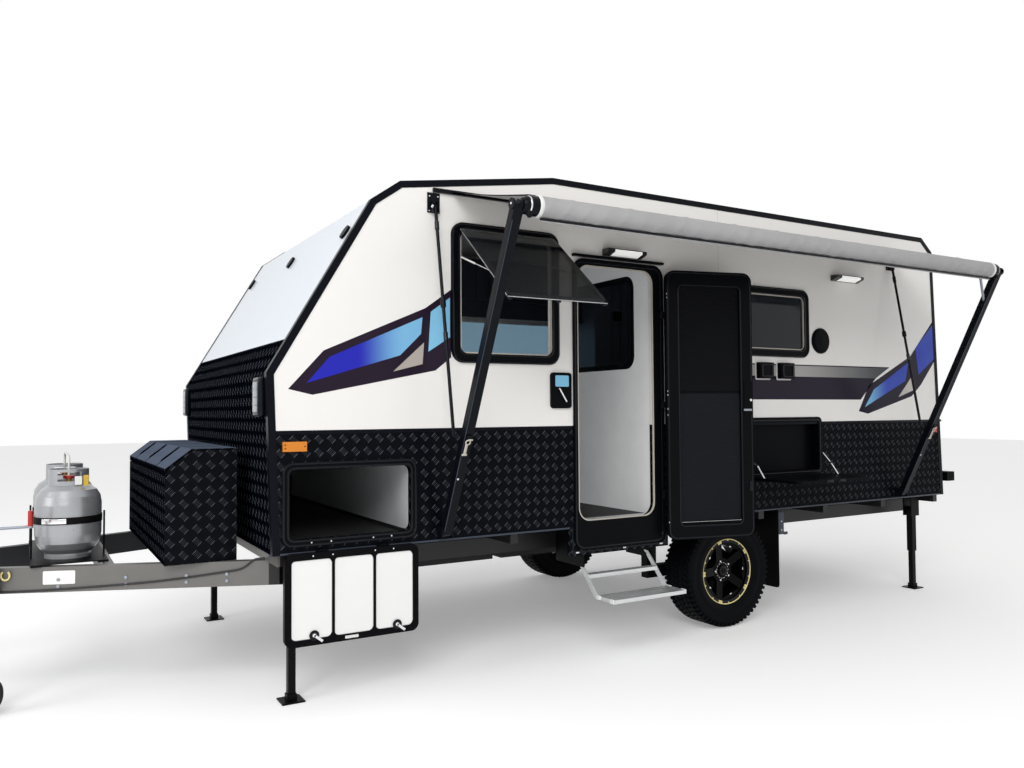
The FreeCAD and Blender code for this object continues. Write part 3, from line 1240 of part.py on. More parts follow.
def bellows(name, at, tall):
    """An air spring: three rolls of rubber between its end plates."""
    r = d.springRadius
    profile = [(ZERO, ZERO)] + [(r * across, tall * up) for up, across in BELLOWS_SHARES]
    return turned(name, profile + [(ZERO, tall)], at, None)


def hub(sign):
    """Brake drum and stub on a trailing arm, with its air spring and damper."""
    name = "Near" if sign < 0 else "Far"
    inner = d.tyreOut - d.tyreWide / 2 - d.tyreWide / 2 * RIM_WIDTH_SHARE
    face_y = inner + d.drumReach
    spindle_long = d.spindleLong
    length = face_y - d.railOuter + d.railWidth
    bars = []
    for label, start, radius, long in (("Drum", face_y - d.drumWide, d.drumRadius, d.drumWide),
                                       ("Stub", d.railOuter - d.railWidth, d.stubRadius, length),
                                       ("Spindle", face_y, SPINDLE_BORE - d.spindleFit,
                                        spindle_long)):
        y = start if sign > 0 else -(start + long)
        bars.append(rod(label + name, (d.wheelX, y, d.wheelHeight), radius, long, "Y"))
    pivot_x = d.wheelX - d.armPivotAhead
    rail_low = CHASSIS_TOP - d.railTall
    arm_y = -(d.railOuter + d.fit) if sign < 0 else d.railOuter - d.trailWide + d.fit
    middle = sign * (d.railOuter - d.railWidth / 2)
    beam = block("TrailArm" + name, (pivot_x, arm_y, d.wheelHeight - d.trailTall / 2),
                 (d.armPivotAhead + d.trailTall / 2, d.trailWide, d.trailTall))
    post = block("TrailPost" + name, (pivot_x, arm_y, d.wheelHeight),
                 (d.trailTall, d.trailWide, rail_low - d.wheelHeight))
    seat = d.wheelHeight + d.trailTall / 2 - d.fit
    spring = bellows("Spring" + name, (d.wheelX - 2 * d.springRadius, middle, seat),
                     rail_low - seat)
    damper = rod("Damper" + name, (d.wheelX + d.damperBehind, middle, d.wheelHeight),
                 d.damperRadius, rail_low - d.wheelHeight, "Z")
    ear = block("DamperEar" + name, (d.wheelX, arm_y, d.wheelHeight - d.damperRadius),
                (d.damperBehind + d.damperRadius, d.trailWide, 2 * d.damperRadius))
    return fused("Suspension" + name, bars + [beam, post, spring, damper, ear])


def wheels():
    for side, sign in (("near", -1), ("far", 1)):
        road_wheel(side, sign)
        node("suspension_" + side, hub(sign))
    outer = d.tyreOut + d.movingGap
    outline = rounded(-outer, above(d.flapLow), -outer + d.flapWide,
                      above(CHASSIS_TOP + d.bearerTall), d.flapRound)
    flap = slab("MudFlap", "YZ", [outline], d.flapThick, (d.flapX, ZERO, d.couplingHeight))
    node("mud_flaps", together("MudFlaps", both("MudFlap", flap)))


# Step

def tread(name, x0, out, deep, height, ribs):
    """A step tread with raised ribs along it and an end cap at each side."""
    low = height - d.treadThick
    pieces = [block(name, (x0, -out, low), (d.stepWide, deep, d.treadThick - d.ribTall))]
    pitch = deep / ribs
    for i in range(ribs):
        pieces.append(block("%sRib%d" % (name, i), (x0, -out + pitch * i, low),
                            (d.stepWide, pitch - d.ribGap, d.treadThick)))
    return pieces


def step():
    """The fold-down step: a hanger each side, two swinging arms and two treads."""
    x0, x1 = d.stepFront, d.stepFront + d.stepWide
    sides = []
    gap = d.stepArmThick + d.movingGap
    for i, x in enumerate((x0 - gap - d.stepArmThick, x1 + gap)):
        hanger = block("StepSide%d" % i, (x, -HALF + d.wall, d.stepBracketLow),
                       (d.stepArmThick, HALF - d.wall - d.railOuter,
                        d.skirtHeight - d.stepBracketLow))
        pin_x = x - gap if i else x + d.stepArmThick
        pin = rod("StepPin%d" % i, (pin_x, -d.stepPivotOut, d.stepPivotHeight), d.stepPin, gap, "X")
        sides.append(fused("StepHanger%d" % i, [hanger, pin]))
    node("step_bracket", together("StepBracket", sides))
    half = d.stepArmTall / 2
    pivot = (-d.stepPivotOut, above(d.stepPivotHeight))
    low = above(d.lowerTreadHeight - d.treadThick)
    toe = (-d.lowerTreadOut, -d.lowerTreadOut + d.lowerTreadDeep)
    run = poly((pivot[0] + half, pivot[1] + half), (pivot[0] - half, pivot[1] + half),
               (toe[1], low + d.treadThick), (toe[0], low + d.treadThick), (toe[0], low),
               (toe[1] + half, low))
    pieces = []
    for i, x in enumerate((x0 - d.stepArmThick, x1)):
        plate = slab("StepArmPlate%d" % i, "YZ", [run], d.stepArmThick, (x, ZERO, d.couplingHeight))
        bore = rod("StepBore%d" % i, (x, -d.stepPivotOut, d.stepPivotHeight),
                   d.stepPin + d.pinFit, d.stepArmThick, "X")
        pieces.append(cut("StepArm%d" % i, plate, bore))
    pieces += tread("LowerTread", x0, d.lowerTreadOut, d.lowerTreadDeep, d.lowerTreadHeight, 4)
    pieces += tread("UpperTread", x0, d.upperTreadOut, d.upperTreadDeep, d.upperTreadHeight, 2)
    node("step_frame", fused("StepFrame", pieces))


# Rear bar and spare wheel

def rear_bar():
    """The bar behind the body on its two arms, and the mast that carries the spare wheel."""
    rear = BODY_REAR + d.barBehind
    bar = block("RearBar", (rear, -d.barReach, d.barLow), (d.barWide, 2 * d.barReach, d.barTall))
    start = BODY_REAR - d.barArmLap
    pieces = [bar]
    rail_low = CHASSIS_TOP - d.railTall
    for i, y in enumerate((-d.railOuter + d.railWidth + d.fit,
                           d.railOuter - 2 * d.railWidth - d.fit)):
        pieces.append(block("BarArm%d" % i, (start, y, rail_low),
                            (rear + d.barWide - start, d.railWidth, d.railTall)))
        pieces.append(block("BarPost%d" % i, (rear, y, rail_low),
                            (d.barWide, d.railWidth, d.barLow - rail_low)))
    mast_low = d.barLow + d.barTall
    pieces.append(block("SpareMast", (rear, d.spareOffset - d.railWidth, mast_low),
                        (d.railWidth / 2, 2 * d.railWidth, d.spareHeight - mast_low + d.railTall)))
    node("rear_bar", fused("RearBarWhole", pieces))
    turn = (V(0, 1, 0), Size(90))
    at = (rear + d.railWidth / 2 + d.fit + d.tyreWide / 2, d.spareOffset, d.spareHeight)
    node("spare_tyre", turned("SpareTyre", tyre_profile(), at, turn))
    node("spare_rim", rim("SpareRim", at, turn))


# Fittings on the walls

VENT_SHARE = 0.82


def on_slope(share, across):
    """A point on the front slope's outer face, by its share of the way up."""
    x = BEND[0] + (SLOPE_TOP[0] - BEND[0]) * share
    return V(x, across, above(BEND[1] + (SLOPE_TOP[1] - BEND[1]) * share))


def slope_discs():
    """The lamp and the two round vents near the top of the front slope."""
    rise = V(SLOPE_TOP[0] - BEND[0], 0, SLOPE_TOP[1] - BEND[1])
    outward = rise.cross(V(0, 1, 0)).normalize()
    if outward.x > 0:
        outward = outward * -1
    return [shaped("SlopeDisc%d" % i, Part.makeCylinder(d.ventRadius, d.ventProud,
                                                        on_slope(VENT_SHARE, across), outward))
            for i, across in enumerate((-d.ventOut, ZERO, d.ventOut))]


def wall_lamp(name, x):
    """A wedge lamp housing over the awning's wall side."""
    wedge = poly((-HALF, above(d.lampHeight)), (-HALF, above(d.lampHeight + d.lampTall)),
                 (-(HALF + d.lampProud), above(d.lampHeight + d.lampTall)),
                 (-(HALF + d.lampProud), above(d.lampHeight + d.lampTall / 2)))
    return slab(name, "YZ", [wedge], d.lampWide, (x, ZERO, d.couplingHeight))


def wall_box(name, x, wide, low, tall, proud):
    """A plain moulded housing on the nearside wall."""
    return block(name, (x, -(HALF + proud), low), (wide, proud, tall))


def rear_lamp(name):
    """A tail lamp cluster that follows the lean of the rear wall."""
    low, top = d.tailLampLow, d.tailLampLow + d.tailLampTall
    face_x = [BODY_REAR - REAR_SLOPE * (z - d.skirtHeight) for z in (low, top)]
    outline = poly((face_x[0], above(low)), (face_x[0] + d.tailLampProud, above(low)),
                   (face_x[1] + d.tailLampProud, above(top)), (face_x[1], above(top)))
    return slab(name, "XZ", [outline], d.tailLampWide,
                (ZERO, -(HALF - d.tailLampIn), d.couplingHeight))


def fittings():
    speaker = turned("Speaker", [(ZERO, ZERO), (d.speakerRadius, ZERO),
                                 (d.speakerRadius, d.speakerProud / 2),
                                 (d.speakerRadius / 2, d.speakerProud), (ZERO, d.speakerProud)],
                     (d.speakerX, -HALF, d.speakerHeight), (V(1, 0, 0), Size(90)))
    inlets = [wall_box("Inlet%d" % i, d.inletX + d.inletPitch * i, d.inletWide, d.inletLow,
                       d.inletTall, d.inletProud) for i in (0, 1)]
    lock = slab("LockPlate", "XZ", [rounded(d.lockX, above(d.lockLow), d.lockX + d.lockWide,
                                            above(d.lockLow + d.lockTall), d.tableRound)],
                d.lockProud, (ZERO, -(HALF + d.lockProud), d.couplingHeight))
    drip = wall_box("DripCap", d.doorFront - d.doorFrameFront, DOOR_REAR + d.doorFrameRear
                    - d.doorFront + d.doorFrameFront, d.doorFrameTop + d.dripGap, d.dripTall,
                    d.dripProud)
    node("wall_fittings", together("WallFittings", [speaker, lock, drip] + inlets + slope_discs()))
    lamps = [wall_lamp("Lamp%d" % i, x) for i, x in enumerate((d.porchLampX, d.rearLampX))]
    corner = block("CornerLamp", (d.bodyFront - d.frontLean - d.cornerLampProud,
                                  -(HALF - d.tailLampIn), d.cornerLampHeight),
                   (d.cornerLampProud + d.wall / 2, d.tailLampWide, d.cornerLampTall))
    front = doc.getObject("FrontLower")
    lamps += both("CornerLampCut", cut("CornerLampSeat", corner, front))
    node("awning_lamps", together("AwningLamps", lamps))
    markers = []
    for i, x in enumerate((d.markerFrontX, d.markerRearX)):
        near = wall_box("Marker%d" % i, x, d.markerWide, d.markerHeight, d.markerTall,
                        d.markerProud)
        markers += both("Marker%d" % i, near)
    markers += both("TailLamp", rear_lamp("TailLamp"))
    node("marker_lamps", together("MarkerLamps", markers))


# Roof and underside

def roof_and_tanks():
    """Roof hatch and air conditioner with sloping sides, and the two water tanks."""
    x, half = d.hatchX, d.hatchWide / 2
    edge = d.hatchEdge
    node("roof_hatch", lofted("Hatch", ((x, -half), (x + d.hatchWide, half), d.roofHeight),
                              ((x + edge, edge - half), (x + d.hatchWide - edge, half - edge),
                               d.roofHeight + d.hatchTall)))
    x, half, edge = d.coolerX, d.coolerWide / 2, d.coolerEdge
    node("air_conditioner", lofted("Cooler", ((x, -half), (x + d.coolerLong, half), d.roofHeight),
                                   ((x + 2 * edge, edge - half), (x + d.coolerLong - edge,
                                                                  half - edge),
                                    d.roofHeight + d.coolerTall)))
    low = CHASSIS_TOP - d.tankTall
    tanks = [block("Tank%d" % i, (d.tankFront + (d.tankLong + d.tankGap) * i, -d.tankHalf, low),
                   (d.tankLong, 2 * d.tankHalf, d.tankTall)) for i in (0, 1)]
    node("water_tanks", together("WaterTanks", tanks))


# Inside the cabin

CABINET_DOORS = 3


def partition():
    """The screen behind the doorway, with a wide cut-out that runs out at its inner edge."""
    x = DOOR_REAR + d.partitionThick
    at = (x, ZERO, d.couplingHeight)
    top = d.roofHeight - d.ceilingGap
    edge = -WALL_IN + d.partitionDeep
    whole = slab("PartitionPanel", "YZ", [rect(-WALL_IN, above(FLOOR_TOP), edge, above(top))],
                 d.partitionThick, at)
    view = rounded(-WALL_IN + d.partitionPost, above(d.viewLow), edge + d.partitionPost,
                   above(d.viewTop), d.doorRound)
    gap = slab("PartitionView", "YZ", [view], d.partitionThick, at)
    node("partition", cut("Partition", whole, gap))


def cabinet(name, x, long, deep, low, top):
    """A closed cabinet against the far wall: carcass with three standing doors."""
    pieces = [block(name, (x, WALL_IN - deep, low), (long, deep, top - low))]
    wide = long / CABINET_DOORS
    for i in range(CABINET_DOORS):
        pieces.append(block("%sDoor%d" % (name, i), (x + wide * i + d.doorReveal, WALL_IN - deep
                                                     - d.doorPanel, low + d.doorReveal),
                            (wide - 2 * d.doorReveal, d.doorPanel, top - low - 2 * d.doorReveal)))
    return fused(name + "Whole", pieces)


def inside():
    """The partition, the kitchen along the far side, a lounge seat, a tall cupboard, a bed."""
    partition()
    ceiling = d.roofHeight - d.ceilingGap
    tall_x = d.doorFront + d.benchLong
    kitchen = cabinet("Kitchen", d.doorFront, d.benchLong, d.benchDeep, FLOOR_TOP,
                      FLOOR_TOP + d.benchTall)
    locker = cabinet("Locker", d.doorFront, d.benchLong, d.lockerDeep, ceiling - d.lockerTall,
                     ceiling)
    tall = cabinet("TallCupboard", tall_x + d.movingGap, d.cupboardLong, d.benchDeep, FLOOR_TOP,
                   ceiling)
    seat = block("Seat", (d.windowFront, WALL_IN - d.benchDeep, FLOOR_TOP),
                 (d.windowWide, d.benchDeep, d.bedTall))
    bed = block("Bed", (BODY_REAR - d.bedLong - d.bedGap, -WALL_IN / 2, FLOOR_TOP),
                (d.bedLong, WALL_IN, d.bedTall))
    node("cabin_furniture", together("CabinFurniture", [kitchen, locker, tall, seat, bed]))


def check():
    """Stops if any piece failed, is empty or isn't valid."""
    bad = [o.Label for o in doc.Objects if "Invalid" in o.State or "Error" in o.State]
    for thing in NODES:
        if thing.Shape.isNull() or not thing.Shape.isValid():
            bad.append(thing.Label)
    if bad:
        raise SystemExit("failed pieces: " + ", ".join(sorted(set(bad))))


def export():
    os.makedirs("parts", exist_ok=True)
    for thing in NODES:
        thing.Shape.exportStep(os.path.join("parts", thing.Label + ".step"))
        box = thing.Shape.BoundBox
        print("%-18s %2d solids  x %6.0f %6.0f  y %6.0f %6.0f  z %6.0f %6.0f" % (
            thing.Label, len(thing.Shape.Solids), box.XMin, box.XMax, box.YMin, box.YMax,
            box.ZMin, box.ZMax))


for make in (chassis, coupling, side_walls, skins, edge_trims, floor, door, windows, boot,
             table, awning, toolbox, gas_bottles, hoses, jockey, legs, wheels, step, rear_bar,
             fittings, roof_and_tanks, inside):
    make()
doc.recompute()
check()
export()
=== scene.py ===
# %% [markdown]
# A travel caravan stands in a pale studio with its door, window, boot and table open.
# The construction is already fixed: every rigid piece comes in with the frame, in metres,
# with +X to the rear, +Z up and the door side at -Y. This lesson dresses them and adds the
# small fittings that only looks need.

# %% The fixed frame
import json
import math

import bpy
import bmesh
import numpy as np
from mathutils import Matrix, Vector


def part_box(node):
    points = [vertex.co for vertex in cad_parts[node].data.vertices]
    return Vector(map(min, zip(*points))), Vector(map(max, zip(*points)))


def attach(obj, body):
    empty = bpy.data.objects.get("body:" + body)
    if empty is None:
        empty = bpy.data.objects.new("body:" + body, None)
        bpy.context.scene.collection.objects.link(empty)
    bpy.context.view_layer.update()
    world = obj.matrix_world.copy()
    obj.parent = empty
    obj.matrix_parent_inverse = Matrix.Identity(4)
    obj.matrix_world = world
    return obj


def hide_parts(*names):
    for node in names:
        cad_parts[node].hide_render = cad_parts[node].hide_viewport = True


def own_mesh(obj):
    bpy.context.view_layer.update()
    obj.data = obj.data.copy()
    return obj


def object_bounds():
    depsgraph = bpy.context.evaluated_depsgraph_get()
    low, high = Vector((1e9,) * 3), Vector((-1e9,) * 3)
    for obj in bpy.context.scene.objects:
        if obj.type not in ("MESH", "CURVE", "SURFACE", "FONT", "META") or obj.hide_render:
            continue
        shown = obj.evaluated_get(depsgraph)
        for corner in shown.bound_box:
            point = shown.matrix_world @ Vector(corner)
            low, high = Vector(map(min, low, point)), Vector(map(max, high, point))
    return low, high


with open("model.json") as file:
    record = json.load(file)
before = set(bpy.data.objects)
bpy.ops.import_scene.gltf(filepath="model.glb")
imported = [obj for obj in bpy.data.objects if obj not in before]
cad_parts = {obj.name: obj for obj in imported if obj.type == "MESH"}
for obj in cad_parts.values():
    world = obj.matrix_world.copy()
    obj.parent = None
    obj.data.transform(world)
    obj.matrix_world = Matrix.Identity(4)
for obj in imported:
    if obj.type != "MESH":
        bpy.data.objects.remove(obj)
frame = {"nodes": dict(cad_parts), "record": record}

CAD_BOX = [list(corner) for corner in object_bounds()]
GROUND = CAD_BOX[0][2]
print("the whole object lies between", CAD_BOX[0], "and", CAD_BOX[1])

# %% [markdown]
# Many places come straight from the frame: the sides of its boxes and the pins of its
# joints. The two rims that stand on the wall are a named step in front of its face.

# %% Places taken from the frame
PINS = {joint["name"]: np.array(joint["pos_m"]) for joint in frame["record"]["behaviour"]["joints"]}


def side_of(node, axis, end):
    """The low (0) or high (1) side of a node's box along an axis (0, 1 or 2)."""
    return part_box(node)[end][axis]


def middle_of(node, axis):
    """The middle of a node's box along an axis."""
    return (side_of(node, axis, 0) + side_of(node, axis, 1)) / 2


WALL_FACE = side_of("side_wall_near", 1, 0)
PLATE_TOP = side_of("side_skirt_near", 2, 1)
SKIRT_LOW = side_of("floor", 2, 0)
BODY_BACK = side_of("side_skirt_near", 0, 1)
WINDOW_FACE = side_of("window_frames", 1, 0)
BOOT_RIM_FACE = WALL_FACE - 0.008
DOOR_RIM_FACE = WALL_FACE - 0.015
BOOT_FACE = side_of("boot_leaf_near", 1, 0)
FAR_BOOT_FACE = side_of("boot_leaf_far", 1, 1)
LEAF_MIDDLE = middle_of("boot_leaf_near", 0)
AWNING_MIDDLE = PINS["awning_fold"][0]
SUNK = 0.0005
print("wall face at", round(WALL_FACE, 4), "and plate up to", round(PLATE_TOP, 4))

# %% [markdown]
# The camera stands where the photographer stood: low, off the front corner of the door
# side, with a wide lens. Its place and turn were solved from the lines of the body, so the
# values are real lengths and angles and the view needs no shift.

# %% Camera
CAMERA_PLACE = Vector((1.0218, -5.2243, 0.8699))
LENS_MM = 29.3
YAW, PITCH, ROLL = math.radians(30.46), math.radians(1.87), math.radians(0.37)
lens = bpy.data.cameras.new("studio_camera")
lens.lens = LENS_MM
camera = bpy.data.objects.new("studio_camera", lens)
camera.matrix_world = (Matrix.Translation(CAMERA_PLACE) @ Matrix.Rotation(-YAW, 4, "Z")
                       @ Matrix.Rotation(math.pi / 2 + PITCH, 4, "X")
                       @ Matrix.Rotation(-ROLL, 4, "Z"))
bpy.context.scene.collection.objects.link(camera)
bpy.context.scene.camera = camera
bpy.context.scene.view_settings.view_transform = "Standard"
print("camera height above the ground", round(CAMERA_PLACE.z - GROUND, 3), "m")

# %% [markdown]
# Soft studio light comes from a pale sky all round and two large lamps. The sky is white
# to the camera and in reflections, and a little dimmer as a light, so that white panels
# keep their shade and black metal keeps a clean gleam.

# %% Sky and lamps
SKY_LIGHT = 0.62


def lamp(name, place, aim, size, power):
    """A square area lamp that faces a point."""
    light = bpy.data.lights.new(name, "AREA")
    light.size, light.energy = size, power
    thing = bpy.data.objects.new(name, light)
    turn = (Vector(aim) - Vector(place)).to_track_quat("-Z", "Y")
    thing.matrix_world = Matrix.Translation(place) @ turn.to_matrix().to_4x4()
    bpy.context.scene.collection.objects.link(thing)


world = bpy.data.worlds.new("studio_sky")
world.use_nodes = True
bpy.context.scene.world = world
sky = world.node_tree
rays = sky.nodes.new("ShaderNodeLightPath")
seen = sky.nodes.new("ShaderNodeMath")
seen.operation = "ADD"
seen.use_clamp = True
gloss = sky.nodes.new("ShaderNodeMath")
gloss.operation = "ADD"
sky.links.new(rays.outputs["Is Glossy Ray"], gloss.inputs[0])
sky.links.new(rays.outputs["Is Transmission Ray"], gloss.inputs[1])
sky.links.new(rays.outputs["Is Camera Ray"], seen.inputs[0])
sky.links.new(gloss.outputs[0], seen.inputs[1])
level = sky.nodes.new("ShaderNodeMapRange")
level.inputs["To Min"].default_value = SKY_LIGHT
sky.links.new(seen.outputs[0], level.inputs["Value"])
sky.links.new(level.outputs[0], sky.nodes["Background"].inputs["Strength"])
sky.nodes["Background"].inputs["Color"].default_value = (1.0, 1.0, 1.0, 1.0)
KEY_POWER, FRONT_POWER = 495.0, 260.0
lamp("key_lamp", (-1.5, -8.0, 6.0), (4.0, 0.0, 0.8), 5.0, KEY_POWER)
lamp("front_lamp", (-6.5, -2.0, 4.0), (2.0, 0.0, 1.0), 4.0, FRONT_POWER)
print("sky light", SKY_LIGHT)

# %% [markdown]
# A shape here is a set of points and a set of faces between them. Most pieces are rings of
# points joined by quads: an outline carried along a path, or a profile turned about an
# axis. Each helper works on whole arrays, and small things are copied by adding offsets.

# %% Shapes from arrays
def quads(rows, columns, closed=True):
    """Faces between neighbouring points of a grid: (i, j), (i+1, j), (i+1, j+1), (i, j+1)."""
    i = np.arange(rows - 1)[:, None]
    j = np.arange(columns if closed else columns - 1)[None, :]
    k = (j + 1) % columns
    corners = [i * columns + j, (i + 1) * columns + j, (i + 1) * columns + k, i * columns + k]
    return np.stack(np.broadcast_arrays(*corners), -1).reshape(-1, 4)


def loft(rings, ends=True):
    """Rings of points, shape (m, n, 3), joined by quads and closed by a face at each end."""
    m, n = rings.shape[:2]
    faces = [quads(m, n)]
    if ends:
        faces += [np.arange(n)[None, ::-1], (m - 1) * n + np.arange(n)[None, :]]
    return rings.reshape(-1, 3), faces


def torus_loft(rings):
    """Rings joined all the way round, so that the last meets the first."""
    m, n = rings.shape[:2]
    return rings.reshape(-1, 3), [quads(m + 1, n) % (m * n)]


def frames(path, up):
    """Side and up directions along a path: side = tangent x up, up = side x tangent."""
    tangent = np.gradient(path, axis=0)
    tangent /= np.linalg.norm(tangent, axis=1, keepdims=True)
    side = np.cross(tangent, np.asarray(up, float))
    side /= np.linalg.norm(side, axis=1, keepdims=True)
    return side, np.cross(side, tangent)


def carried(path, outline, up=(0, 0, 1)):
    """A flat outline (n, 2) carried along a path: point = path + side * u + up * v."""
    path = np.asarray(path, float)
    side, top = frames(path, up)
    return path[:, None] + side[:, None] * outline[None, :, :1] + top[:, None] * outline[None, :, 1:]


def circle(radius, count=12):
    """Points (r cos a, r sin a) at even angles a."""
    angle = np.linspace(0, 2 * math.pi, count, endpoint=False)
    return radius * np.stack([np.cos(angle), np.sin(angle)], 1)


def tube(path, radius, sides=10, up=(0, 0, 1)):
    return loft(carried(path, circle(radius, sides), up))


def turned(profile, centre, axis, count=48):
    """A profile of (radius, along) pairs turned about an axis through a centre."""
    profile = np.asarray(profile, float)
    axis = np.asarray(axis, float)
    side = np.cross(axis, (1.0, 0.0, 0.0) if abs(axis[0]) < 0.9 else (0.0, 0.0, 1.0))
    side /= np.linalg.norm(side)
    other = np.cross(axis, side)
    angle = np.linspace(0, 2 * math.pi, count, endpoint=False)
    spoke = np.cos(angle)[:, None] * side + np.sin(angle)[:, None] * other
    return (np.asarray(centre, float) + profile[:, None, :1] * spoke[None]
            + profile[:, None, 1:] * axis)


def round_rectangle(wide, tall, radius, steps=5):
    """Outline of a rectangle about its centre, each corner a quarter circle."""
    angle = np.linspace(0, math.pi / 2, steps)
    arc = radius * np.stack([np.cos(angle), np.sin(angle)], 1)
    a, b = wide / 2 - radius, tall / 2 - radius
    quarters = []
    for turn, centre in enumerate(((a, b), (-a, b), (-a, -b), (a, -b))):
        c, s = math.cos(turn * math.pi / 2), math.sin(turn * math.pi / 2)
        quarters.append(arc @ np.array([[c, s], [-s, c]]) + centre)
    return np.concatenate(quarters)


def soft_block(low, high, radius, along=2, steps=4):
    """A block with rounded edges: its outline draws in by r(1 - cos a) as it nears an end."""
    low, high = np.asarray(low, float), np.asarray(high, float)
    others = [k for k in range(3) if k != along]
    angle = np.linspace(0, math.pi / 2, steps)
    inset = radius * (1 - np.sin(angle))
    rise = radius * (1 - np.cos(angle))
    insets = np.concatenate([inset, inset[::-1]])
    rises = np.concatenate([rise, (high - low)[along] - rise[::-1]])
    size = (high - low)[others]
    rings = []
    for draw_in, height in zip(insets, rises):
        wide, tall = size - 2 * draw_in
        flat = round_rectangle(wide, tall, max(radius - draw_in, radius * 0.2))
        ring = np.zeros((len(flat), 3))
        ring[:, others] = flat + (low + high)[others] / 2
        ring[:, along] = low[along] + height
        rings.append(ring)
    return loft(np.array(rings))


AXES = {"xz": (0, 2, 1), "yz": (1, 2, 0), "xy": (0, 1, 2)}


def slab(outline, plane, start, thick):
    """A flat outline made into a plate along the plane's normal."""
    axes = AXES[plane]
    rings = np.zeros((2, len(outline), 3))
    rings[:, :, axes[0]] = np.asarray(outline)[:, 0]
    rings[:, :, axes[1]] = np.asarray(outline)[:, 1]
    rings[0, :, axes[2]], rings[1, :, axes[2]] = start, start + thick
    return loft(rings)


def copies(shape, places):
    """The same shape moved to each place, as one joined shape."""
    points, faces = shape
    places = np.asarray(places, float).reshape(-1, 3)
    moved = (points[None] + places[:, None]).reshape(-1, 3)
    shift = (np.arange(len(places)) * len(points))[:, None, None]
    return moved, [(f[None] + shift).reshape(-1, f.shape[1]) for f in faces]


def joined(*shapes):
    """Several shapes as one, with their face numbers moved on."""
    points, faces, count = [], [], 0
    for p, f in shapes:
        points.append(p)
        faces += [g + count for g in f]
        count += len(p)
    return np.concatenate(points), faces


def mirrored_side(shape):
    """The same shape on the other side of the caravan."""
    points, faces = shape
    return points * np.array([1.0, -1.0, 1.0]), faces


def rect_at(low, high, radius, steps=5):
    """A rounded rectangle between two opposite corners."""
    low, high = np.asarray(low, float), np.asarray(high, float)
    return round_rectangle(*(high - low), radius, steps) + (low + high) / 2


def bead(outline, plane, level, section, closed=True):
    """A strip along an outline: point = outline + outward * s0, at level + s1."""
    outline, section = np.asarray(outline, float), np.asarray(section, float)
    run = np.roll(outline, -1, 0) - np.roll(outline, 1, 0) if closed else np.gradient(outline, axis=0)
    run /= np.linalg.norm(run, axis=1, keepdims=True)
    outward = np.stack([run[:, 1], -run[:, 0]], 1)
    flat = outline[:, None] + outward[:, None] * section[None, :, :1]
    rings = np.zeros((*flat.shape[:2], 3))
    a, b, c = AXES[plane]
    rings[..., a], rings[..., b], rings[..., c] = flat[..., 0], flat[..., 1], level + section[:, 1]
    return torus_loft(rings) if closed else loft(rings)


def rod(start, end, radius, sides=10):
    """A straight round rod between two points."""
    path = np.linspace(start, end, 2)
    return tube(path, radius, sides, np.eye(3)[int(np.argmin(np.abs(path[1] - path[0])))])


def button(centre, axis, radius, long, edge=0.3, count=18):
    """A round head that stands on a face, its rim drawn in by a share of its length."""
    e = min(edge * long, radius * 0.8)
    profile = [(radius, 0), (radius, long - e), (radius - 0.3 * e, long - 0.3 * e), (radius - e, long)]
    return loft(turned(profile, centre, axis, count))


def heads(places, radius, long, axis=(0, -1, 0)):
    """Round heads of one size on a face, at a list of places."""
    return copies(button((0, 0, 0), axis, radius, long), places)


def moved(shape, turn, place=(0, 0, 0)):
    """A shape turned by a matrix and put in its place."""
    points, faces = shape
    return points @ np.asarray(turn, float).T + np.asarray(place, float), faces


def sector(inner, outer, middle, spread, start, thick, steps=4):
    """A curved tab between two radii about an angle, standing along the third axis."""
    angle = middle + np.linspace(-spread, spread, steps)
    ring = np.stack([np.cos(angle), np.sin(angle)], 1)
    return slab(np.concatenate([outer * ring, inner * ring[::-1]]), "xy", start, thick)


def box_shape(low, high):
    """A plain plate or bar between two corners."""
    flat = np.array([(low[0], low[1]), (high[0], low[1]), (high[0], high[1]), (low[0], high[1])])
    return slab(flat, "xy", low[2], high[2] - low[2])


def card(low, high, radius, level, thick):
    """A plate with round corners that faces the near side."""
    return slab(rect_at(low, high, radius), "xz", level, thick)


def both_sides(shape):
    """A shape and its mirror image as one."""
    return joined(shape, mirrored_side(shape))


def piece(name, shape, finish, body="caravan", sharp=35.0, closed=True):
    """Puts a shape into a mesh with a named finish, faces outwards, and lets it ride on a body."""
    points, faces = shape
    mesh = bpy.data.meshes.new(name)
    mesh.from_pydata(points.tolist(), [], [f for group in faces for f in group.tolist()])
    if closed:
        work = bmesh.new()
        work.from_mesh(mesh)
        bmesh.ops.remove_doubles(work, verts=work.verts, dist=1e-6)
        bmesh.ops.recalc_face_normals(work, faces=work.faces)
        work.to_mesh(mesh)
        work.free()
    mesh.polygons.foreach_set("use_smooth", np.ones(len(mesh.polygons), bool))
    mesh.set_sharp_from_angle(angle=math.radians(sharp))
    thing = bpy.data.objects.new(name, mesh)
    bpy.context.scene.collection.objects.link(thing)
    mesh.materials.append(finishes[finish])
    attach(thing, body)
    print("%-22s %6d faces" % (name, len(mesh.polygons)))
    return thing


# %% [markdown]
# Finishes share a few effects: a fine grain that breaks up gloss, the raised bars of
# tread plate, a weave and a choice of flat coordinates for a face. Each effect is a node
# group, built once, and the shader itself stays in the material.

# %% Node helpers
def link(tree, source, target):
    """Joins a socket, or sets a plain value."""
    if hasattr(source, "is_linked"):
        tree.links.new(source, target)
    else:
        target.default_value = source


def calc(tree, operation, *values):
    """One math node on sockets or numbers."""
    made = tree.nodes.new("ShaderNodeMath")
    made.operation = operation
    for value, socket in zip(values, made.inputs):
        link(tree, value, socket)
    return made.outputs[0]


def maths(tree):
    """The math node helper of one tree."""
    return lambda operation, *values: calc(tree, operation, *values)


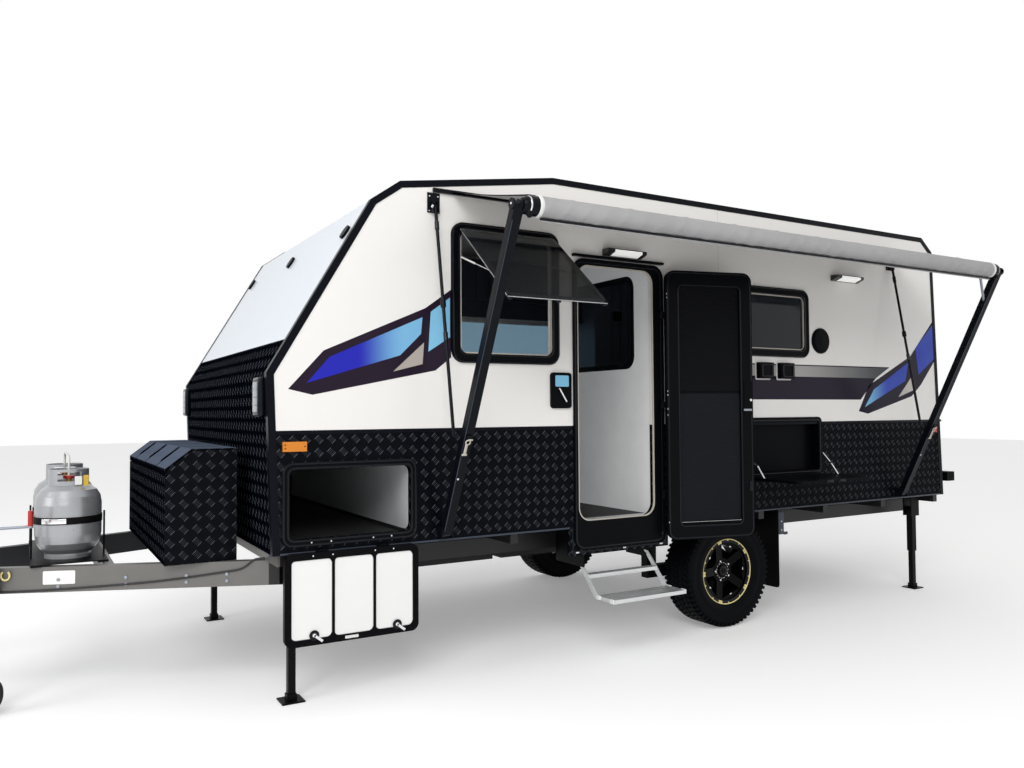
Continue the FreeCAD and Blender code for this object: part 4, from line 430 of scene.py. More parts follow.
def blend(tree, share, first, second):
    """A colour between two colours."""
    made = tree.nodes.new("ShaderNodeMix")
    made.data_type = "RGBA"
    link(tree, share, made.inputs["Factor"])
    link(tree, first, made.inputs["A"])
    link(tree, second, made.inputs["B"])
    return made.outputs["Result"]


def step_at(tree, value, edge, soft):
    """0 below an edge and 1 above it, over a soft width."""
    made = tree.nodes.new("ShaderNodeMapRange")
    made.interpolation_type = "SMOOTHSTEP"
    link(tree, value, made.inputs["Value"])
    made.inputs["From Min"].default_value = edge - soft
    made.inputs["From Max"].default_value = edge + soft
    return made.outputs["Result"]


def group(name, inputs, outputs):
    """A new shader node group with its sockets, and its two end nodes."""
    tree = bpy.data.node_groups.new(name, "ShaderNodeTree")
    for label, kind in inputs:
        tree.interface.new_socket(label, in_out="INPUT", socket_type="NodeSocket" + kind)
    for label, kind in outputs:
        tree.interface.new_socket(label, in_out="OUTPUT", socket_type="NodeSocket" + kind)
    return tree, tree.nodes.new("NodeGroupInput"), tree.nodes.new("NodeGroupOutput")


def split(tree, vector):
    made = tree.nodes.new("ShaderNodeSeparateXYZ")
    link(tree, vector, made.inputs[0])
    return made.outputs


def combine(tree, x, y, z=0.0):
    made = tree.nodes.new("ShaderNodeCombineXYZ")
    for value, socket in zip((x, y, z), made.inputs):
        link(tree, value, socket)
    return made.outputs[0]


def noise(tree, vector, scale, detail=3.0):
    made = tree.nodes.new("ShaderNodeTexNoise")
    made.inputs["Detail"].default_value = detail
    link(tree, vector, made.inputs["Vector"])
    link(tree, scale, made.inputs["Scale"])
    return made.outputs["Fac"]


print("node helpers:", [f.__name__ for f in (calc, blend, step_at, group, split, combine, noise)])

# %% [markdown]
# Flat coordinates choose the two axes that lie in a face. Tread bars fill diagonal cells in
# turn along and across, and a weave is the product of two sines.

# %% Grain, flat coordinates, tread bars and weave
grain_group, enter, leave = group("surface_grain", [("Vector", "Vector"), ("Scale", "Float")],
                                  [("Mask", "Float"), ("Fine", "Float")])
link(grain_group, noise(grain_group, enter.outputs["Vector"], enter.outputs["Scale"]), leave.inputs["Mask"])
fine_scale = calc(grain_group, "MULTIPLY", enter.outputs["Scale"], 9.0)
link(grain_group, noise(grain_group, enter.outputs["Vector"], fine_scale, 2.0), leave.inputs["Fine"])

flat_group, enter, leave = group("flat_coordinates", [("Vector", "Vector"), ("Normal", "Vector")],
                                 [("Flat", "Vector")])
do = maths(flat_group)
x, y, z = split(flat_group, enter.outputs["Vector"])
_, ny, nz = [do("ABSOLUTE", part) for part in split(flat_group, enter.outputs["Normal"])]
side_on = do("GREATER_THAN", ny, 0.7)
top_on = do("GREATER_THAN", nz, 0.8)
across = do("ADD", do("MULTIPLY", side_on, x), do("MULTIPLY", do("SUBTRACT", 1.0, side_on), y))
upright = do("ADD", do("MULTIPLY", top_on, x), do("MULTIPLY", do("SUBTRACT", 1.0, top_on), z))
link(flat_group, combine(flat_group, across, upright), leave.inputs["Flat"])

BARS_A_CELL, BAR_HALF, GROUP_HALF, OUTER_BAR, INNER_SHINE = 5.3, 0.30, 0.475, 0.28, 0.30
bar_group, enter, leave = group("tread_bars", [("Flat", "Vector"), ("Cell", "Float")],
                                [("Height", "Float"), ("Lit", "Float")])
do = maths(bar_group)
u, v, _ = split(bar_group, enter.outputs["Flat"])
cell = do("MULTIPLY", enter.outputs["Cell"], math.sqrt(2.0))
a = do("DIVIDE", do("ADD", u, v), cell)
b = do("DIVIDE", do("SUBTRACT", u, v), cell)
odd = do("FLOORED_MODULO", do("ADD", do("FLOOR", a), do("FLOOR", b)), 2.0)
la = do("SUBTRACT", do("FRACT", a), 0.5)
lb = do("SUBTRACT", do("FRACT", b), 0.5)
swap = do("SUBTRACT", 1.0, odd)
length_way = do("ADD", do("MULTIPLY", odd, la), do("MULTIPLY", swap, lb))
cross_way = do("ADD", do("MULTIPLY", odd, lb), do("MULTIPLY", swap, la))
ripple = do("COSINE", do("MULTIPLY", cross_way, 2.0 * math.pi * BARS_A_CELL))
ripple = do("POWER", do("MAXIMUM", ripple, 0.0), 2.8)
in_length = do("SUBTRACT", 1.0, step_at(bar_group, do("ABSOLUTE", length_way), BAR_HALF, 0.03))
in_cross = do("SUBTRACT", 1.0, step_at(bar_group, do("ABSOLUTE", cross_way), GROUP_HALF, 0.01))
height = do("MULTIPLY", do("MULTIPLY", ripple, in_length), in_cross)
link(bar_group, height, leave.inputs["Height"])
# Lit marks the bars that get the painted highlight, less on the inner bars of a group.
outer = do("GREATER_THAN", do("ABSOLUTE", cross_way), OUTER_BAR)
shine = do("MULTIPLY_ADD", outer, 1.0 - INNER_SHINE, INNER_SHINE)
link(bar_group, do("MULTIPLY", do("MULTIPLY", height, odd), shine), leave.inputs["Lit"])

weave_group, enter, leave = group("weave", [("Vector", "Vector"), ("Threads", "Float")],
                                  [("Height", "Float")])
do = maths(weave_group)
u, v, w = split(weave_group, enter.outputs["Vector"])
turns = do("MULTIPLY", enter.outputs["Threads"], 2.0 * math.pi)
warp = do("SINE", do("MULTIPLY", u, turns))
weft = do("SINE", do("MULTIPLY", v, turns))
link(weave_group, do("MULTIPLY", warp, weft), leave.inputs["Height"])
print("node groups", [g.name for g in bpy.data.node_groups])


# %% [markdown]
# Most finishes are one colour whose tone, gloss and surface vary with the grain. Some have
# other colours inside boxes that are given in metres.

# %% Materials from a colour, a gloss and a grain
def start_finish(name, colour, rough, metal=0.0, specular=0.5, coat=0.0):
    """A new material with the values that are the same all over set on the shader."""
    made = bpy.data.materials.new(name)
    made.use_nodes = True
    shader = made.node_tree.nodes["Principled BSDF"]
    shader.inputs["Base Color"].default_value = (*colour, 1.0)
    shader.inputs["Roughness"].default_value = rough
    shader.inputs["Metallic"].default_value = metal
    shader.inputs["Specular IOR Level"].default_value = specular
    shader.inputs["Coat Weight"].default_value = coat
    return made, made.node_tree, shader


def use(tree, used, **values):
    """Places a node group with its values."""
    made = tree.nodes.new("ShaderNodeGroup")
    made.node_tree = used
    for label, value in values.items():
        link(tree, value, made.inputs[label])
    return made.outputs


def bump(tree, shader, height, depth, strength=1.0):
    """Feeds a height in metres times a depth to the shader's normal."""
    made = tree.nodes.new("ShaderNodeBump")
    made.inputs["Strength"].default_value = strength
    made.inputs["Distance"].default_value = depth
    link(tree, height, made.inputs["Height"])
    tree.links.new(made.outputs[0], shader.inputs["Normal"])


def spots(tree):
    return tree.nodes.new("ShaderNodeTexCoord").outputs


def grained(name, colour, rough, metal=0.0, specular=0.5, coat=0.0, scale=8.0, mottle=0.08,
            depth=0.0002, spread=0.12):
    """A finish whose colour, gloss and surface vary with the grain group."""
    made, tree, shader = start_finish(name, colour, rough, metal, specular, coat)
    place = spots(tree)["Object"]
    grain = use(tree, grain_group, Vector=place, Scale=scale)
    low = tuple(c * (1 - mottle) for c in colour)
    high = tuple(min(1.0, c * (1 + mottle)) for c in colour)
    link(tree, blend(tree, grain["Mask"], (*low, 1.0), (*high, 1.0)), shader.inputs["Base Color"])
    uneven = calc(tree, "MULTIPLY_ADD", grain["Fine"], spread, rough - spread / 2)
    link(tree, uneven, shader.inputs["Roughness"])
    bump(tree, shader, grain["Fine"], depth)
    return made


def in_range(tree, value, low, high):
    """1 between two values and 0 elsewhere."""
    return calc(tree, "COMPARE", value, (low + high) / 2, (high - low) / 2)


def in_zone(tree, place, zone):
    """1 inside a box given as a range, or None, for each axis."""
    inside = 1.0
    for value, limits in zip(place, zone):
        if limits:
            inside = calc(tree, "MULTIPLY", inside, in_range(tree, value, *limits))
    return inside


def zoned(name, values, zones, mirror=False):
    """A grained finish with other colours inside boxes; mirror reads the distance |y|."""
    made = grained(name, *values)
    tree = made.node_tree
    base = tree.nodes["Principled BSDF"].inputs["Base Color"]
    x, y, z = split(tree, spots(tree)["Object"])
    y = calc(tree, "ABSOLUTE", y) if mirror else y
    tone = base.links[0].from_socket
    for *zone, colour in zones:
        tone = blend(tree, in_zone(tree, (x, y, z), zone), tone, (*colour, 1.0))
    link(tree, tone, base)
    return made


PAINTS = {
    "chassis_black": ((0.0022, 0.0024, 0.0030), 0.45, 0.0, 0.04),
    "galvanised": ((0.155, 0.150, 0.142), 0.42, 0.35, 0.5),
    "roof_white": ((0.80, 0.80, 0.79), 0.4, 0.0, 0.5),
    "trim_black": ((0.0022, 0.0030, 0.0060), 0.3, 0.0, 0.08),
    "floor_board": ((0.010, 0.010, 0.010), 0.5, 0.0, 0.1),
    "frame_plastic": ((0.0018, 0.0021, 0.0032), 0.4, 0.0, 0.05),
    "door_black": ((0.0018, 0.0021, 0.0032), 0.38, 0.0, 0.05),
    "table_metal": ((0.0018, 0.0021, 0.0032), 0.35, 0.0, 0.04),
    "awning_metal": ((0.0022, 0.0028, 0.0050), 0.32, 0.0, 0.11),
    "tray_black": ((0.0028, 0.0028, 0.0033), 0.45, 0.0, 0.09),
    "jockey_rubber": ((0.012, 0.012, 0.012), 0.7, 0.0, 0.3),
    "leg_black": ((0.0022, 0.0022, 0.0028), 0.4, 0.0, 0.09),
    "tyre": ((0.0022, 0.0026, 0.0036), 0.5, 0.0, 0.045),
    "rim_alloy": ((0.0015, 0.0015, 0.0022), 0.16, 0.0, 0.06),
    "axle_black": ((0.0028, 0.0028, 0.0033), 0.5, 0.0, 0.09),
    "flap_rubber": ((0.0028, 0.0028, 0.0033), 0.55, 0.0, 0.09),
    "vent_white": ((0.72, 0.72, 0.70), 0.5, 0.0, 0.5),
    "tank_grey": ((0.012, 0.012, 0.014), 0.55, 0.0, 0.25),
    "partition_white": ((0.78, 0.77, 0.75), 0.4, 0.0, 0.5),
    "step_aluminium": ((0.68, 0.70, 0.70), 0.32, 0.7),
    "bright_steel": ((0.75, 0.75, 0.75), 0.2, 0.9),
    "gold": ((0.80, 0.68, 0.30), 0.3, 0.2),
    "screw_white": ((0.72, 0.72, 0.70), 0.4),
    "gasket": ((0.50, 0.46, 0.40), 0.55, 0.0, 0.3),
    "gloss_black": ((0.002, 0.003, 0.006), 0.12, 0.0, 0.20),
    "lamp_slate": ((0.10, 0.13, 0.16), 0.15, 0.0, 0.5, 0.3, 60.0, 0.5),
    "slate": ((0.035, 0.045, 0.065), 0.3, 0.0, 0.3),
    "tag_yellow": ((0.62, 0.40, 0.03), 0.5),
    "splash_blue": ((0.30, 0.48, 0.62), 0.3, 0.0, 0.5),
}
finishes = {name: grained(name, *values) for name, values in PAINTS.items()}
BRASS, TAP_RED, WHITE = (0.50, 0.33, 0.10), (0.50, 0.02, 0.02), (0.86, 0.86, 0.85)
STEEL = ((0.36, 0.37, 0.385), 0.3, 0.55, 0.5, 0.2)
ALL = None
ZONED = {
    "bottle_grey": (STEEL, [
        (ALL, ALL, (0.310, 0.3125), (0.20, 0.20, 0.21)),
        ((1.205, 1.273), (0.216, 0.284), (0.499, 0.531), BRASS),
        ((1.205, 1.273), (0.216, 0.284), (0.531, 0.549), TAP_RED)]),
    "jockey_zinc": (((0.30, 0.33, 0.38), 0.35, 0.5), [
        ((1.045, 1.085), ALL, (0.316, 0.40), (0.42, 0.03, 0.025))]),
    # Galvanised parts under the body (behind x 2.12) and on the far drawbar are darkened: painted shade.
    "galvanised": (PAINTS["galvanised"], [
        ((2.12, 8.0), ALL, ALL, (0.014, 0.014, 0.015)),
        ((-1.0, 2.2), (0.0, 2.0), ALL, (0.018, 0.019, 0.022))]),
    "hose_black": (((0.010, 0.010, 0.011), 0.5), [
        (ALL, ALL, (0.45, 0.80), (0.62, 0.62, 0.60))]),
    "liner": (((0.50, 0.51, 0.52), 0.5), [
        (ALL, ALL, (0.20, 0.2465), (0.012, 0.012, 0.012))]),
    "amber": (((0.62, 0.20, 0.012), 0.25, 0.0, 0.4, 0.2), [
        ((7.0, 8.0), ALL, ALL, (0.50, 0.012, 0.012))]),
    "cabinet_dark": (((0.028, 0.034, 0.050), 0.3, 0.0, 0.4), [
        ((5.28, 5.84), ALL, ALL, (0.090, 0.105, 0.130)), ((5.84, 7.4), ALL, (0.56, 0.8), (0.30, 0.29, 0.28)),
        ((3.0, 3.8), ALL, (0.60, 0.8), (0.16, 0.15, 0.14))]),
}
for name, (values, zones) in ZONED.items():
    finishes[name] = zoned(name, values, zones, mirror=name == "bottle_grey")
# The splashback and the partition glow a little: painted light that brightens the inside, not lamps.
PAINTED_GLOWS = {"splash_blue": ((0.35, 0.58, 0.75), 0.30), "partition_white": ((0.9, 0.95, 1.0), 0.12)}
for name, (tone, glow) in PAINTED_GLOWS.items():
    painted_glow_shader = finishes[name].node_tree.nodes["Principled BSDF"]
    painted_glow_shader.inputs["Emission Color"].default_value = (*tone, 1.0)
    painted_glow_shader.inputs["Emission Strength"].default_value = glow
print(len(finishes), "finishes")

# %% [markdown]
# Tread plate is a thin sheet with rows of raised bars. The bars are a repeating relief, far too many to
# model, so they are bump, and the bars that lie one way are painted a lighter colour: a painted highlight
# for the light they catch. The side panels carry the plate up to one level and gloss white above it.

# %% Tread plate, white panels and the plates on them
PLATE_CELL, PLATE_RELIEF = 0.0452, 0.0016
PLATE_BLACK = (0.0012, 0.0018, 0.0035)
# PLATE_GLEAM is the colour of the painted highlight on the bars that catch the light.
PLATE_GLEAM = (0.190, 0.205, 0.235)
PANEL_WHITE = (0.84, 0.82, 0.795)
SEAM_X = 5.026
RIB_HALF = 0.0135


def plate_parts(tree):
    """Height and lit mask of the bars at a surface point."""
    spot = spots(tree)
    flat = use(tree, flat_group, Vector=spot["Object"], Normal=spot["Normal"])["Flat"]
    return spot, use(tree, bar_group, Flat=flat, Cell=PLATE_CELL)


def plate_gloss(tree):
    """Reflection of black plate: its rough paint does not mirror the sky at low angles."""
    facing = tree.nodes.new("ShaderNodeLayerWeight").outputs["Facing"]
    return calc(tree, "MAXIMUM", calc(tree, "MULTIPLY_ADD", facing, -0.085, 0.060), 0.0)


def tread_finish(name, sky_reflection_tone=PLATE_BLACK, ribs=()):
    """Black plate; on up-facing slopes a lighter tone that is a painted reflection of the sky, with black
    ribs across it.
    """
    made, tree, shader = start_finish(name, PLATE_BLACK, 0.33, 0.0, 0.07, 0.0)
    do = maths(tree)
    spot, bars = plate_parts(tree)
    grain = use(tree, grain_group, Vector=spot["Object"], Scale=6.0)
    x, y, z = split(tree, spot["Object"])
    painted_reflection = step_at(tree, split(tree, spot["Normal"])[2], 0.3, 0.05)
    for rib in ribs:
        painted_reflection = do("SUBTRACT", painted_reflection, in_range(tree, y, rib - RIB_HALF, rib + RIB_HALF))
    plain = blend(tree, do("MAXIMUM", painted_reflection, 0.0), (*PLATE_BLACK, 1.0), (*sky_reflection_tone, 1.0))
    colour = blend(tree, bars["Lit"], plain, (*PLATE_GLEAM, 1.0))
    link(tree, colour, shader.inputs["Base Color"])
    link(tree, do("MULTIPLY_ADD", grain["Mask"], 0.16, 0.25), shader.inputs["Roughness"])
    link(tree, plate_gloss(tree), shader.inputs["Specular IOR Level"])
    bump(tree, shader, bars["Height"], PLATE_RELIEF)
    return made


def panel_finish(name, level, white):
    """Tread plate below a level and gloss white above, with a joint line between sheets."""
    made, tree, shader = start_finish(name, white, 0.3, 0.0, 0.45, 0.15)
    do = maths(tree)
    spot, bars = plate_parts(tree)
    x, y, z = split(tree, spot["Object"])
    above = step_at(tree, z, level, 0.0004)
    grain = use(tree, grain_group, Vector=spot["Object"], Scale=1.6)
    plate = blend(tree, bars["Lit"], (*PLATE_BLACK, 1.0), (*PLATE_GLEAM, 1.0))
    soft = tuple(c * 0.965 for c in white)
    paint = blend(tree, grain["Mask"], (*soft, 1.0), (*white, 1.0))
    seam = do("COMPARE", x, SEAM_X, 0.0022)
    paint = blend(tree, do("MULTIPLY", seam, 0.35), paint, (0.35, 0.34, 0.33, 1.0))
    link(tree, blend(tree, above, plate, paint), shader.inputs["Base Color"])
    link(tree, do("MULTIPLY_ADD", grain["Mask"], 0.12, 0.24), shader.inputs["Roughness"])
    gloss = do("MULTIPLY_ADD", above, 0.38, plate_gloss(tree))
    link(tree, gloss, shader.inputs["Specular IOR Level"])
    link(tree, do("MULTIPLY", above, 0.15), shader.inputs["Coat Weight"])
    below = do("SUBTRACT", 1.0, above)
    bump(tree, shader, do("MULTIPLY", bars["Height"], below), PLATE_RELIEF)
    return made


FRONT_PLATE_TOP = 1.235
LID_RIBS = (-0.45, 0.0, 0.45)
finishes["tread_plate"] = tread_finish("tread_plate")
# The lid's bluish slope tone is a painted reflection of the sky; its ribs stay black.
finishes["lid_plate"] = tread_finish("lid_plate", (0.085, 0.105, 0.150), LID_RIBS)
finishes["white_panel"] = panel_finish("white_panel", PLATE_TOP, PANEL_WHITE)
# The front panel's bluish grey in place of white is a painted reflection of the sky.
finishes["front_panel"] = panel_finish("front_panel", FRONT_PLATE_TOP, (0.62, 0.67, 0.73))
print("plate bars in cells of", PLATE_CELL * 1000, "mm")


def glass_finish(name, colour, clear):
    """Tinted acrylic: a thin smooth sheet that lets part of the light through."""
    made, tree, shader = start_finish(name, colour, 0.06, 0.0, 0.3)
    grain = use(tree, grain_group, Vector=spots(tree)["Object"], Scale=3.0)
    link(tree, calc(tree, "MULTIPLY_ADD", grain["Mask"], 0.05, 0.03), shader.inputs["Roughness"])
    shader.inputs["Alpha"].default_value = 1.0 - clear
    shader.inputs["Transmission Weight"].default_value = 0.0
    return made


finishes["tinted"] = glass_finish("tinted", (0.010, 0.014, 0.020), 0.30)


def sash_finish(name, low, high, border):
    """Tinted acrylic with a printed black border: opaque near its edges."""
    made = glass_finish(name, (0.010, 0.012, 0.015), 0.5)
    tree = made.node_tree
    x, _, z = split(tree, spots(tree)["Object"])
    clear = in_zone(tree, (x, z), [(low[0] + border, high[0] - border),
                                   (low[1] + border, high[1] - border)])
    link(tree, calc(tree, "MULTIPLY_ADD", clear, -0.26, 1.0), tree.nodes["Principled BSDF"].inputs["Alpha"])
    return made


finishes["sash_pane"] = sash_finish("sash_pane", (3.080, 1.438), (3.695, 1.886), 0.022)
LENSES = [[(4.120, 4.330), (-1.21, -1.150), (1.8175, 1.850)],
          [(6.205, 6.415), (-1.21, -1.150), (1.8175, 1.850)]]


def lamp_finish(name, lens, glow):
    """Black lamp housings with frosted white lenses that glow a little."""
    made, tree, shader = start_finish(name, lens, 0.25)
    spot = spots(tree)["Object"]
    place = split(tree, spot)
    lit = 0.0
    for zone in LENSES:
        lit = calc(tree, "ADD", lit, in_zone(tree, place, zone))
    link(tree, blend(tree, lit, (0.009, 0.009, 0.010, 1.0), (*lens, 1.0)), shader.inputs["Base Color"])
    bump(tree, shader, use(tree, weave_group, Vector=spot, Threads=260.0)["Height"], 0.0003)
    shader.inputs["Emission Color"].default_value = (*lens, 1.0)
    link(tree, calc(tree, "MULTIPLY", lit, glow), shader.inputs["Emission Strength"])
    return made


finishes["lamp_lens"] = lamp_finish("lamp_lens", (0.9, 0.9, 0.88), 0.4)

# %% [markdown]
# Some finishes read where they are on the object. The boot leaves are black frames with
# three white panels: d = length(max(q, 0)) + min(max(q), 0) - r is the distance to a
# rounded rectangle, and white is where d < 0. The door's screen is a pleated mesh inside a
# black frame. The vents have dark slots at even heights.

# %% Boot panels, door screen and vents
PANEL_PITCH, PANEL_HALF, PANEL_ROUND = 0.21665, 0.10035, 0.022
LATCH_EDGE, HINGE_EDGE = 0.034, 0.047
HAIR = 5e-6


def boot_finish(name, low, high):
    """White panels in a black frame; a thin groove runs round each panel."""
    made, tree, shader = start_finish(name, WHITE, 0.32)
    do = maths(tree)
    spot = spots(tree)["Object"]
    x, _, z = split(tree, spot)
    first, last = LEAF_MIDDLE - 1.5 * PANEL_PITCH, LEAF_MIDDLE + 1.5 * PANEL_PITCH
    held = do("MINIMUM", do("MAXIMUM", x, first + HAIR), last - HAIR)
    cell = do("MODULO", do("SUBTRACT", held, first), PANEL_PITCH)
    across = do("ABSOLUTE", do("SUBTRACT", cell, PANEL_PITCH / 2))
    along = do("ABSOLUTE", do("SUBTRACT", z, (low + high) / 2))
    qx = do("SUBTRACT", across, PANEL_HALF - PANEL_ROUND)
    qz = do("SUBTRACT", along, (high - low) / 2 - PANEL_ROUND)
    corner = do("SQRT", do("ADD", do("POWER", do("MAXIMUM", qx, 0.0), 2.0),
                           do("POWER", do("MAXIMUM", qz, 0.0), 2.0)))
    inner = do("MINIMUM", do("MAXIMUM", qx, qz), 0.0)
    distance = do("SUBTRACT", do("ADD", corner, inner), PANEL_ROUND)
    outside = step_at(tree, distance, 0.0, 0.0008)
    grain = use(tree, grain_group, Vector=spot, Scale=3.0)
    white = blend(tree, grain["Mask"], (0.82, 0.82, 0.81, 1.0), (*WHITE, 1.0))
    link(tree, blend(tree, outside, white, (0.003, 0.003, 0.004, 1.0)), shader.inputs["Base Color"])
    link(tree, do("MULTIPLY_ADD", outside, -0.36, 0.40), shader.inputs["Specular IOR Level"])
    link(tree, do("MULTIPLY_ADD", grain["Fine"], 0.1, 0.27), shader.inputs["Roughness"])
    bump(tree, shader, step_at(tree, distance, 0.003, 0.003), 0.003)
    return made


HINGE = PINS["door_swing"]
OPENED = math.radians(15)
SCREEN_X, SCREEN_Z, SCREEN_MIDDLE, PLEAT = (0.104, 0.530), (0.150, 1.654), 0.983, 0.017


def screen_finish(name):
    """Black door plastic; inside the screen's edges a pleated mesh, lighter low down."""
    made, tree, shader = start_finish(name, (0.0018, 0.0021, 0.0032), 0.35, 0.0, 0.05)
    do = maths(tree)
    spot = spots(tree)["Object"]
    x, y, z = split(tree, spot)
    across = do("SUBTRACT", do("MULTIPLY", do("SUBTRACT", x, HINGE[0]), math.cos(OPENED)),
                do("MULTIPLY", do("SUBTRACT", y, HINGE[1]), math.sin(OPENED)))
    mesh = in_zone(tree, (across, z), (SCREEN_X, SCREEN_Z))
    low = do("MULTIPLY", mesh, do("LESS_THAN", z, SCREEN_MIDDLE))
    grain = use(tree, grain_group, Vector=spot, Scale=5.0)
    tone = blend(tree, mesh, (0.0022, 0.0026, 0.0036, 1.0), (0.0050, 0.0053, 0.0064, 1.0))
    tone = blend(tree, low, tone, (0.0110, 0.0120, 0.0150, 1.0))
    tone = blend(tree, do("MULTIPLY", grain["Mask"], 0.3), tone, (0.004, 0.004, 0.005, 1.0))
    link(tree, tone, shader.inputs["Base Color"])
    link(tree, do("MULTIPLY_ADD", mesh, 0.35, 0.30), shader.inputs["Roughness"])
    pleats = do("SINE", do("MULTIPLY", z, 2.0 * math.pi / PLEAT))
    bump(tree, shader, do("MULTIPLY", pleats, mesh), 0.0004)
    return made


SLOT_PITCH, SLOT_SHARE = 0.021, 0.42


def vent_finish(name):
    """White plastic with dark slots on upright faces."""
    made = grained(name, (0.72, 0.72, 0.70), 0.5)
    tree = made.node_tree
    do = maths(tree)
    base = tree.nodes["Principled BSDF"].inputs["Base Color"]
    spot = spots(tree)
    x, y, z = split(tree, spot["Object"])
    upright = do("LESS_THAN", do("ABSOLUTE", split(tree, spot["Normal"])[2]), 0.5)
    slots = in_range(tree, do("FRACT", do("DIVIDE", z, SLOT_PITCH)), 0.0, SLOT_SHARE)
    low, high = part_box("air_conditioner")
    slotted = (low.z + 0.044, high.z - 0.036)
    inside = in_zone(tree, (x, do("ABSOLUTE", y), z),
                     [(low.x + 0.03, high.x - 0.03), (0.0, high.y - 0.03), slotted])
    sides = in_zone(tree, (x, z), [(low.x + 0.08, high.x - 0.08), slotted])
    where = do("MULTIPLY", upright, do("MAXIMUM", inside, sides))
    link(tree, blend(tree, do("MULTIPLY", where, slots), base.links[0].from_socket,
                     (0.03, 0.03, 0.03, 1.0)), base)
    return made


near_leaf = [side_of("boot_leaf_near", 2, end) for end in (0, 1)]
far_leaf = [side_of("boot_leaf_far", 2, end) for end in (0, 1)]
finishes["boot_near"] = boot_finish("boot_near", near_leaf[0] + LATCH_EDGE, near_leaf[1] - HINGE_EDGE)
finishes["boot_far"] = boot_finish("boot_far", far_leaf[0] + HINGE_EDGE, far_leaf[1] - LATCH_EDGE)
finishes["door_screen"] = screen_finish("door_screen")
finishes["vent_white"] = vent_finish("vent_white")
print("finishes that read their place:", "boot_near boot_far door_screen vent_white")


def cloth_finish(name, colour, rough, threads, depth, hems=None):
    """Coated cloth: a plain weave, soft blotches where it was rolled and black side hems."""
    made, tree, shader = start_finish(name, colour, rough, 0.0, 0.3)
    place = spots(tree)["Object"]
    grain = use(tree, grain_group, Vector=place, Scale=4.0)
    low = tuple(c * 0.8 for c in colour)
    tone = blend(tree, grain["Mask"], (*low, 1.0), (*colour, 1.0))
    if hems:
        middle = in_range(tree, split(tree, place)[0], *hems)
        tone = blend(tree, middle, (0.008, 0.008, 0.010, 1.0), tone)
    link(tree, tone, shader.inputs["Base Color"])
    bump(tree, shader, use(tree, weave_group, Vector=place, Threads=threads)["Height"], depth)
    return made


finishes["awning_cloth"] = cloth_finish("awning_cloth", (0.56, 0.545, 0.52), 0.75, 420.0, 0.0002,
                                         (3.085, 6.775))
finishes["roll_cloth"] = cloth_finish("roll_cloth", (0.42, 0.415, 0.42), 0.6, 420.0, 0.0002)
finishes["boot_panel"] = grained("boot_panel", (0.80, 0.79, 0.77), 0.3, 0.0, 0.5, 0.1, 2.0, 0.02)

print("cloth in", sum("cloth" in name for name in finishes), "finishes")

# %% [markdown]
# Each piece of the frame takes the finish of its material slot, and six take one of their own.

# %% Finishes on the pieces that keep their own shape
OWN_FINISH = {"front_slope": "front_panel", "boot_leaf_near": "boot_near",
              "boot_leaf_far": "boot_far", "door_leaf": "door_screen",
              "window_sash": "sash_pane", "toolbox_lid": "lid_plate"}
for part in frame["record"]["subparts"]:
    thing = frame["nodes"][part["node"]]
    chosen = finishes[OWN_FINISH.get(part["node"], part["material_slot"])]
    thing.data.materials.clear()
    thing.data.materials.append(chosen)
print("dressed", len(frame["nodes"]), "pieces of the frame")

# %% [markdown]
# The stripes on the side are printed films on the panel: a dark border with blue fading to
# light blue inside it and a small silver wedge. Each is a thin plate cut to its outline, about
# a millimetre over the wall. The far side carries the mirror image.

# %% Side stripes
FILM = 0.0006


def fading_finish(name, first, second, start, end):
    """A colour that fades into another between two distances along the caravan."""
    made, tree, shader = start_finish(name, first, 0.28, 0.0, 0.14)
    spot = spots(tree)["Object"]
    x, y, z = split(tree, spot)
    share = tree.nodes.new("ShaderNodeMapRange")
    share.interpolation_type = "SMOOTHSTEP"
    link(tree, x, share.inputs["Value"])
    share.inputs["From Min"].default_value = start
    share.inputs["From Max"].default_value = end
    tone = blend(tree, share.outputs["Result"], (*first, 1.0), (*second, 1.0))
    grain = use(tree, grain_group, Vector=spot, Scale=3.0)
    shade = tuple(c * 0.8 for c in first)
    tone = blend(tree, calc(tree, "MULTIPLY", grain["Mask"], 0.25), tone, (*shade, 1.0))
    link(tree, tone, shader.inputs["Base Color"])
    link(tree, calc(tree, "MULTIPLY_ADD", grain["Fine"], 0.1, 0.2), shader.inputs["Roughness"])
    return made


DEEP_BLUE, LIGHT_BLUE, SILVER = (0.020, 0.022, 0.42), (0.22, 0.52, 0.75), (0.42, 0.38, 0.34)
FADES = {
    "film_dark": ((0.016, 0.008, 0.020), (0.010, 0.007, 0.020), 2.2, 7.2),
    "film_front": (DEEP_BLUE, LIGHT_BLUE, 2.50, 2.78),
    "film_rear": (LIGHT_BLUE, DEEP_BLUE, 6.50, 6.80),
    "film_light": (LIGHT_BLUE, LIGHT_BLUE, 0.0, 1.0),
    "film_silver": (SILVER, (0.60, 0.57, 0.53), 2.7, 7.1),
    "film_band": ((0.42, 0.41, 0.40), (0.03, 0.04, 0.05), 5.6, 6.8),
}
for name, values in FADES.items():
    finishes[name] = fading_finish(name, *values)

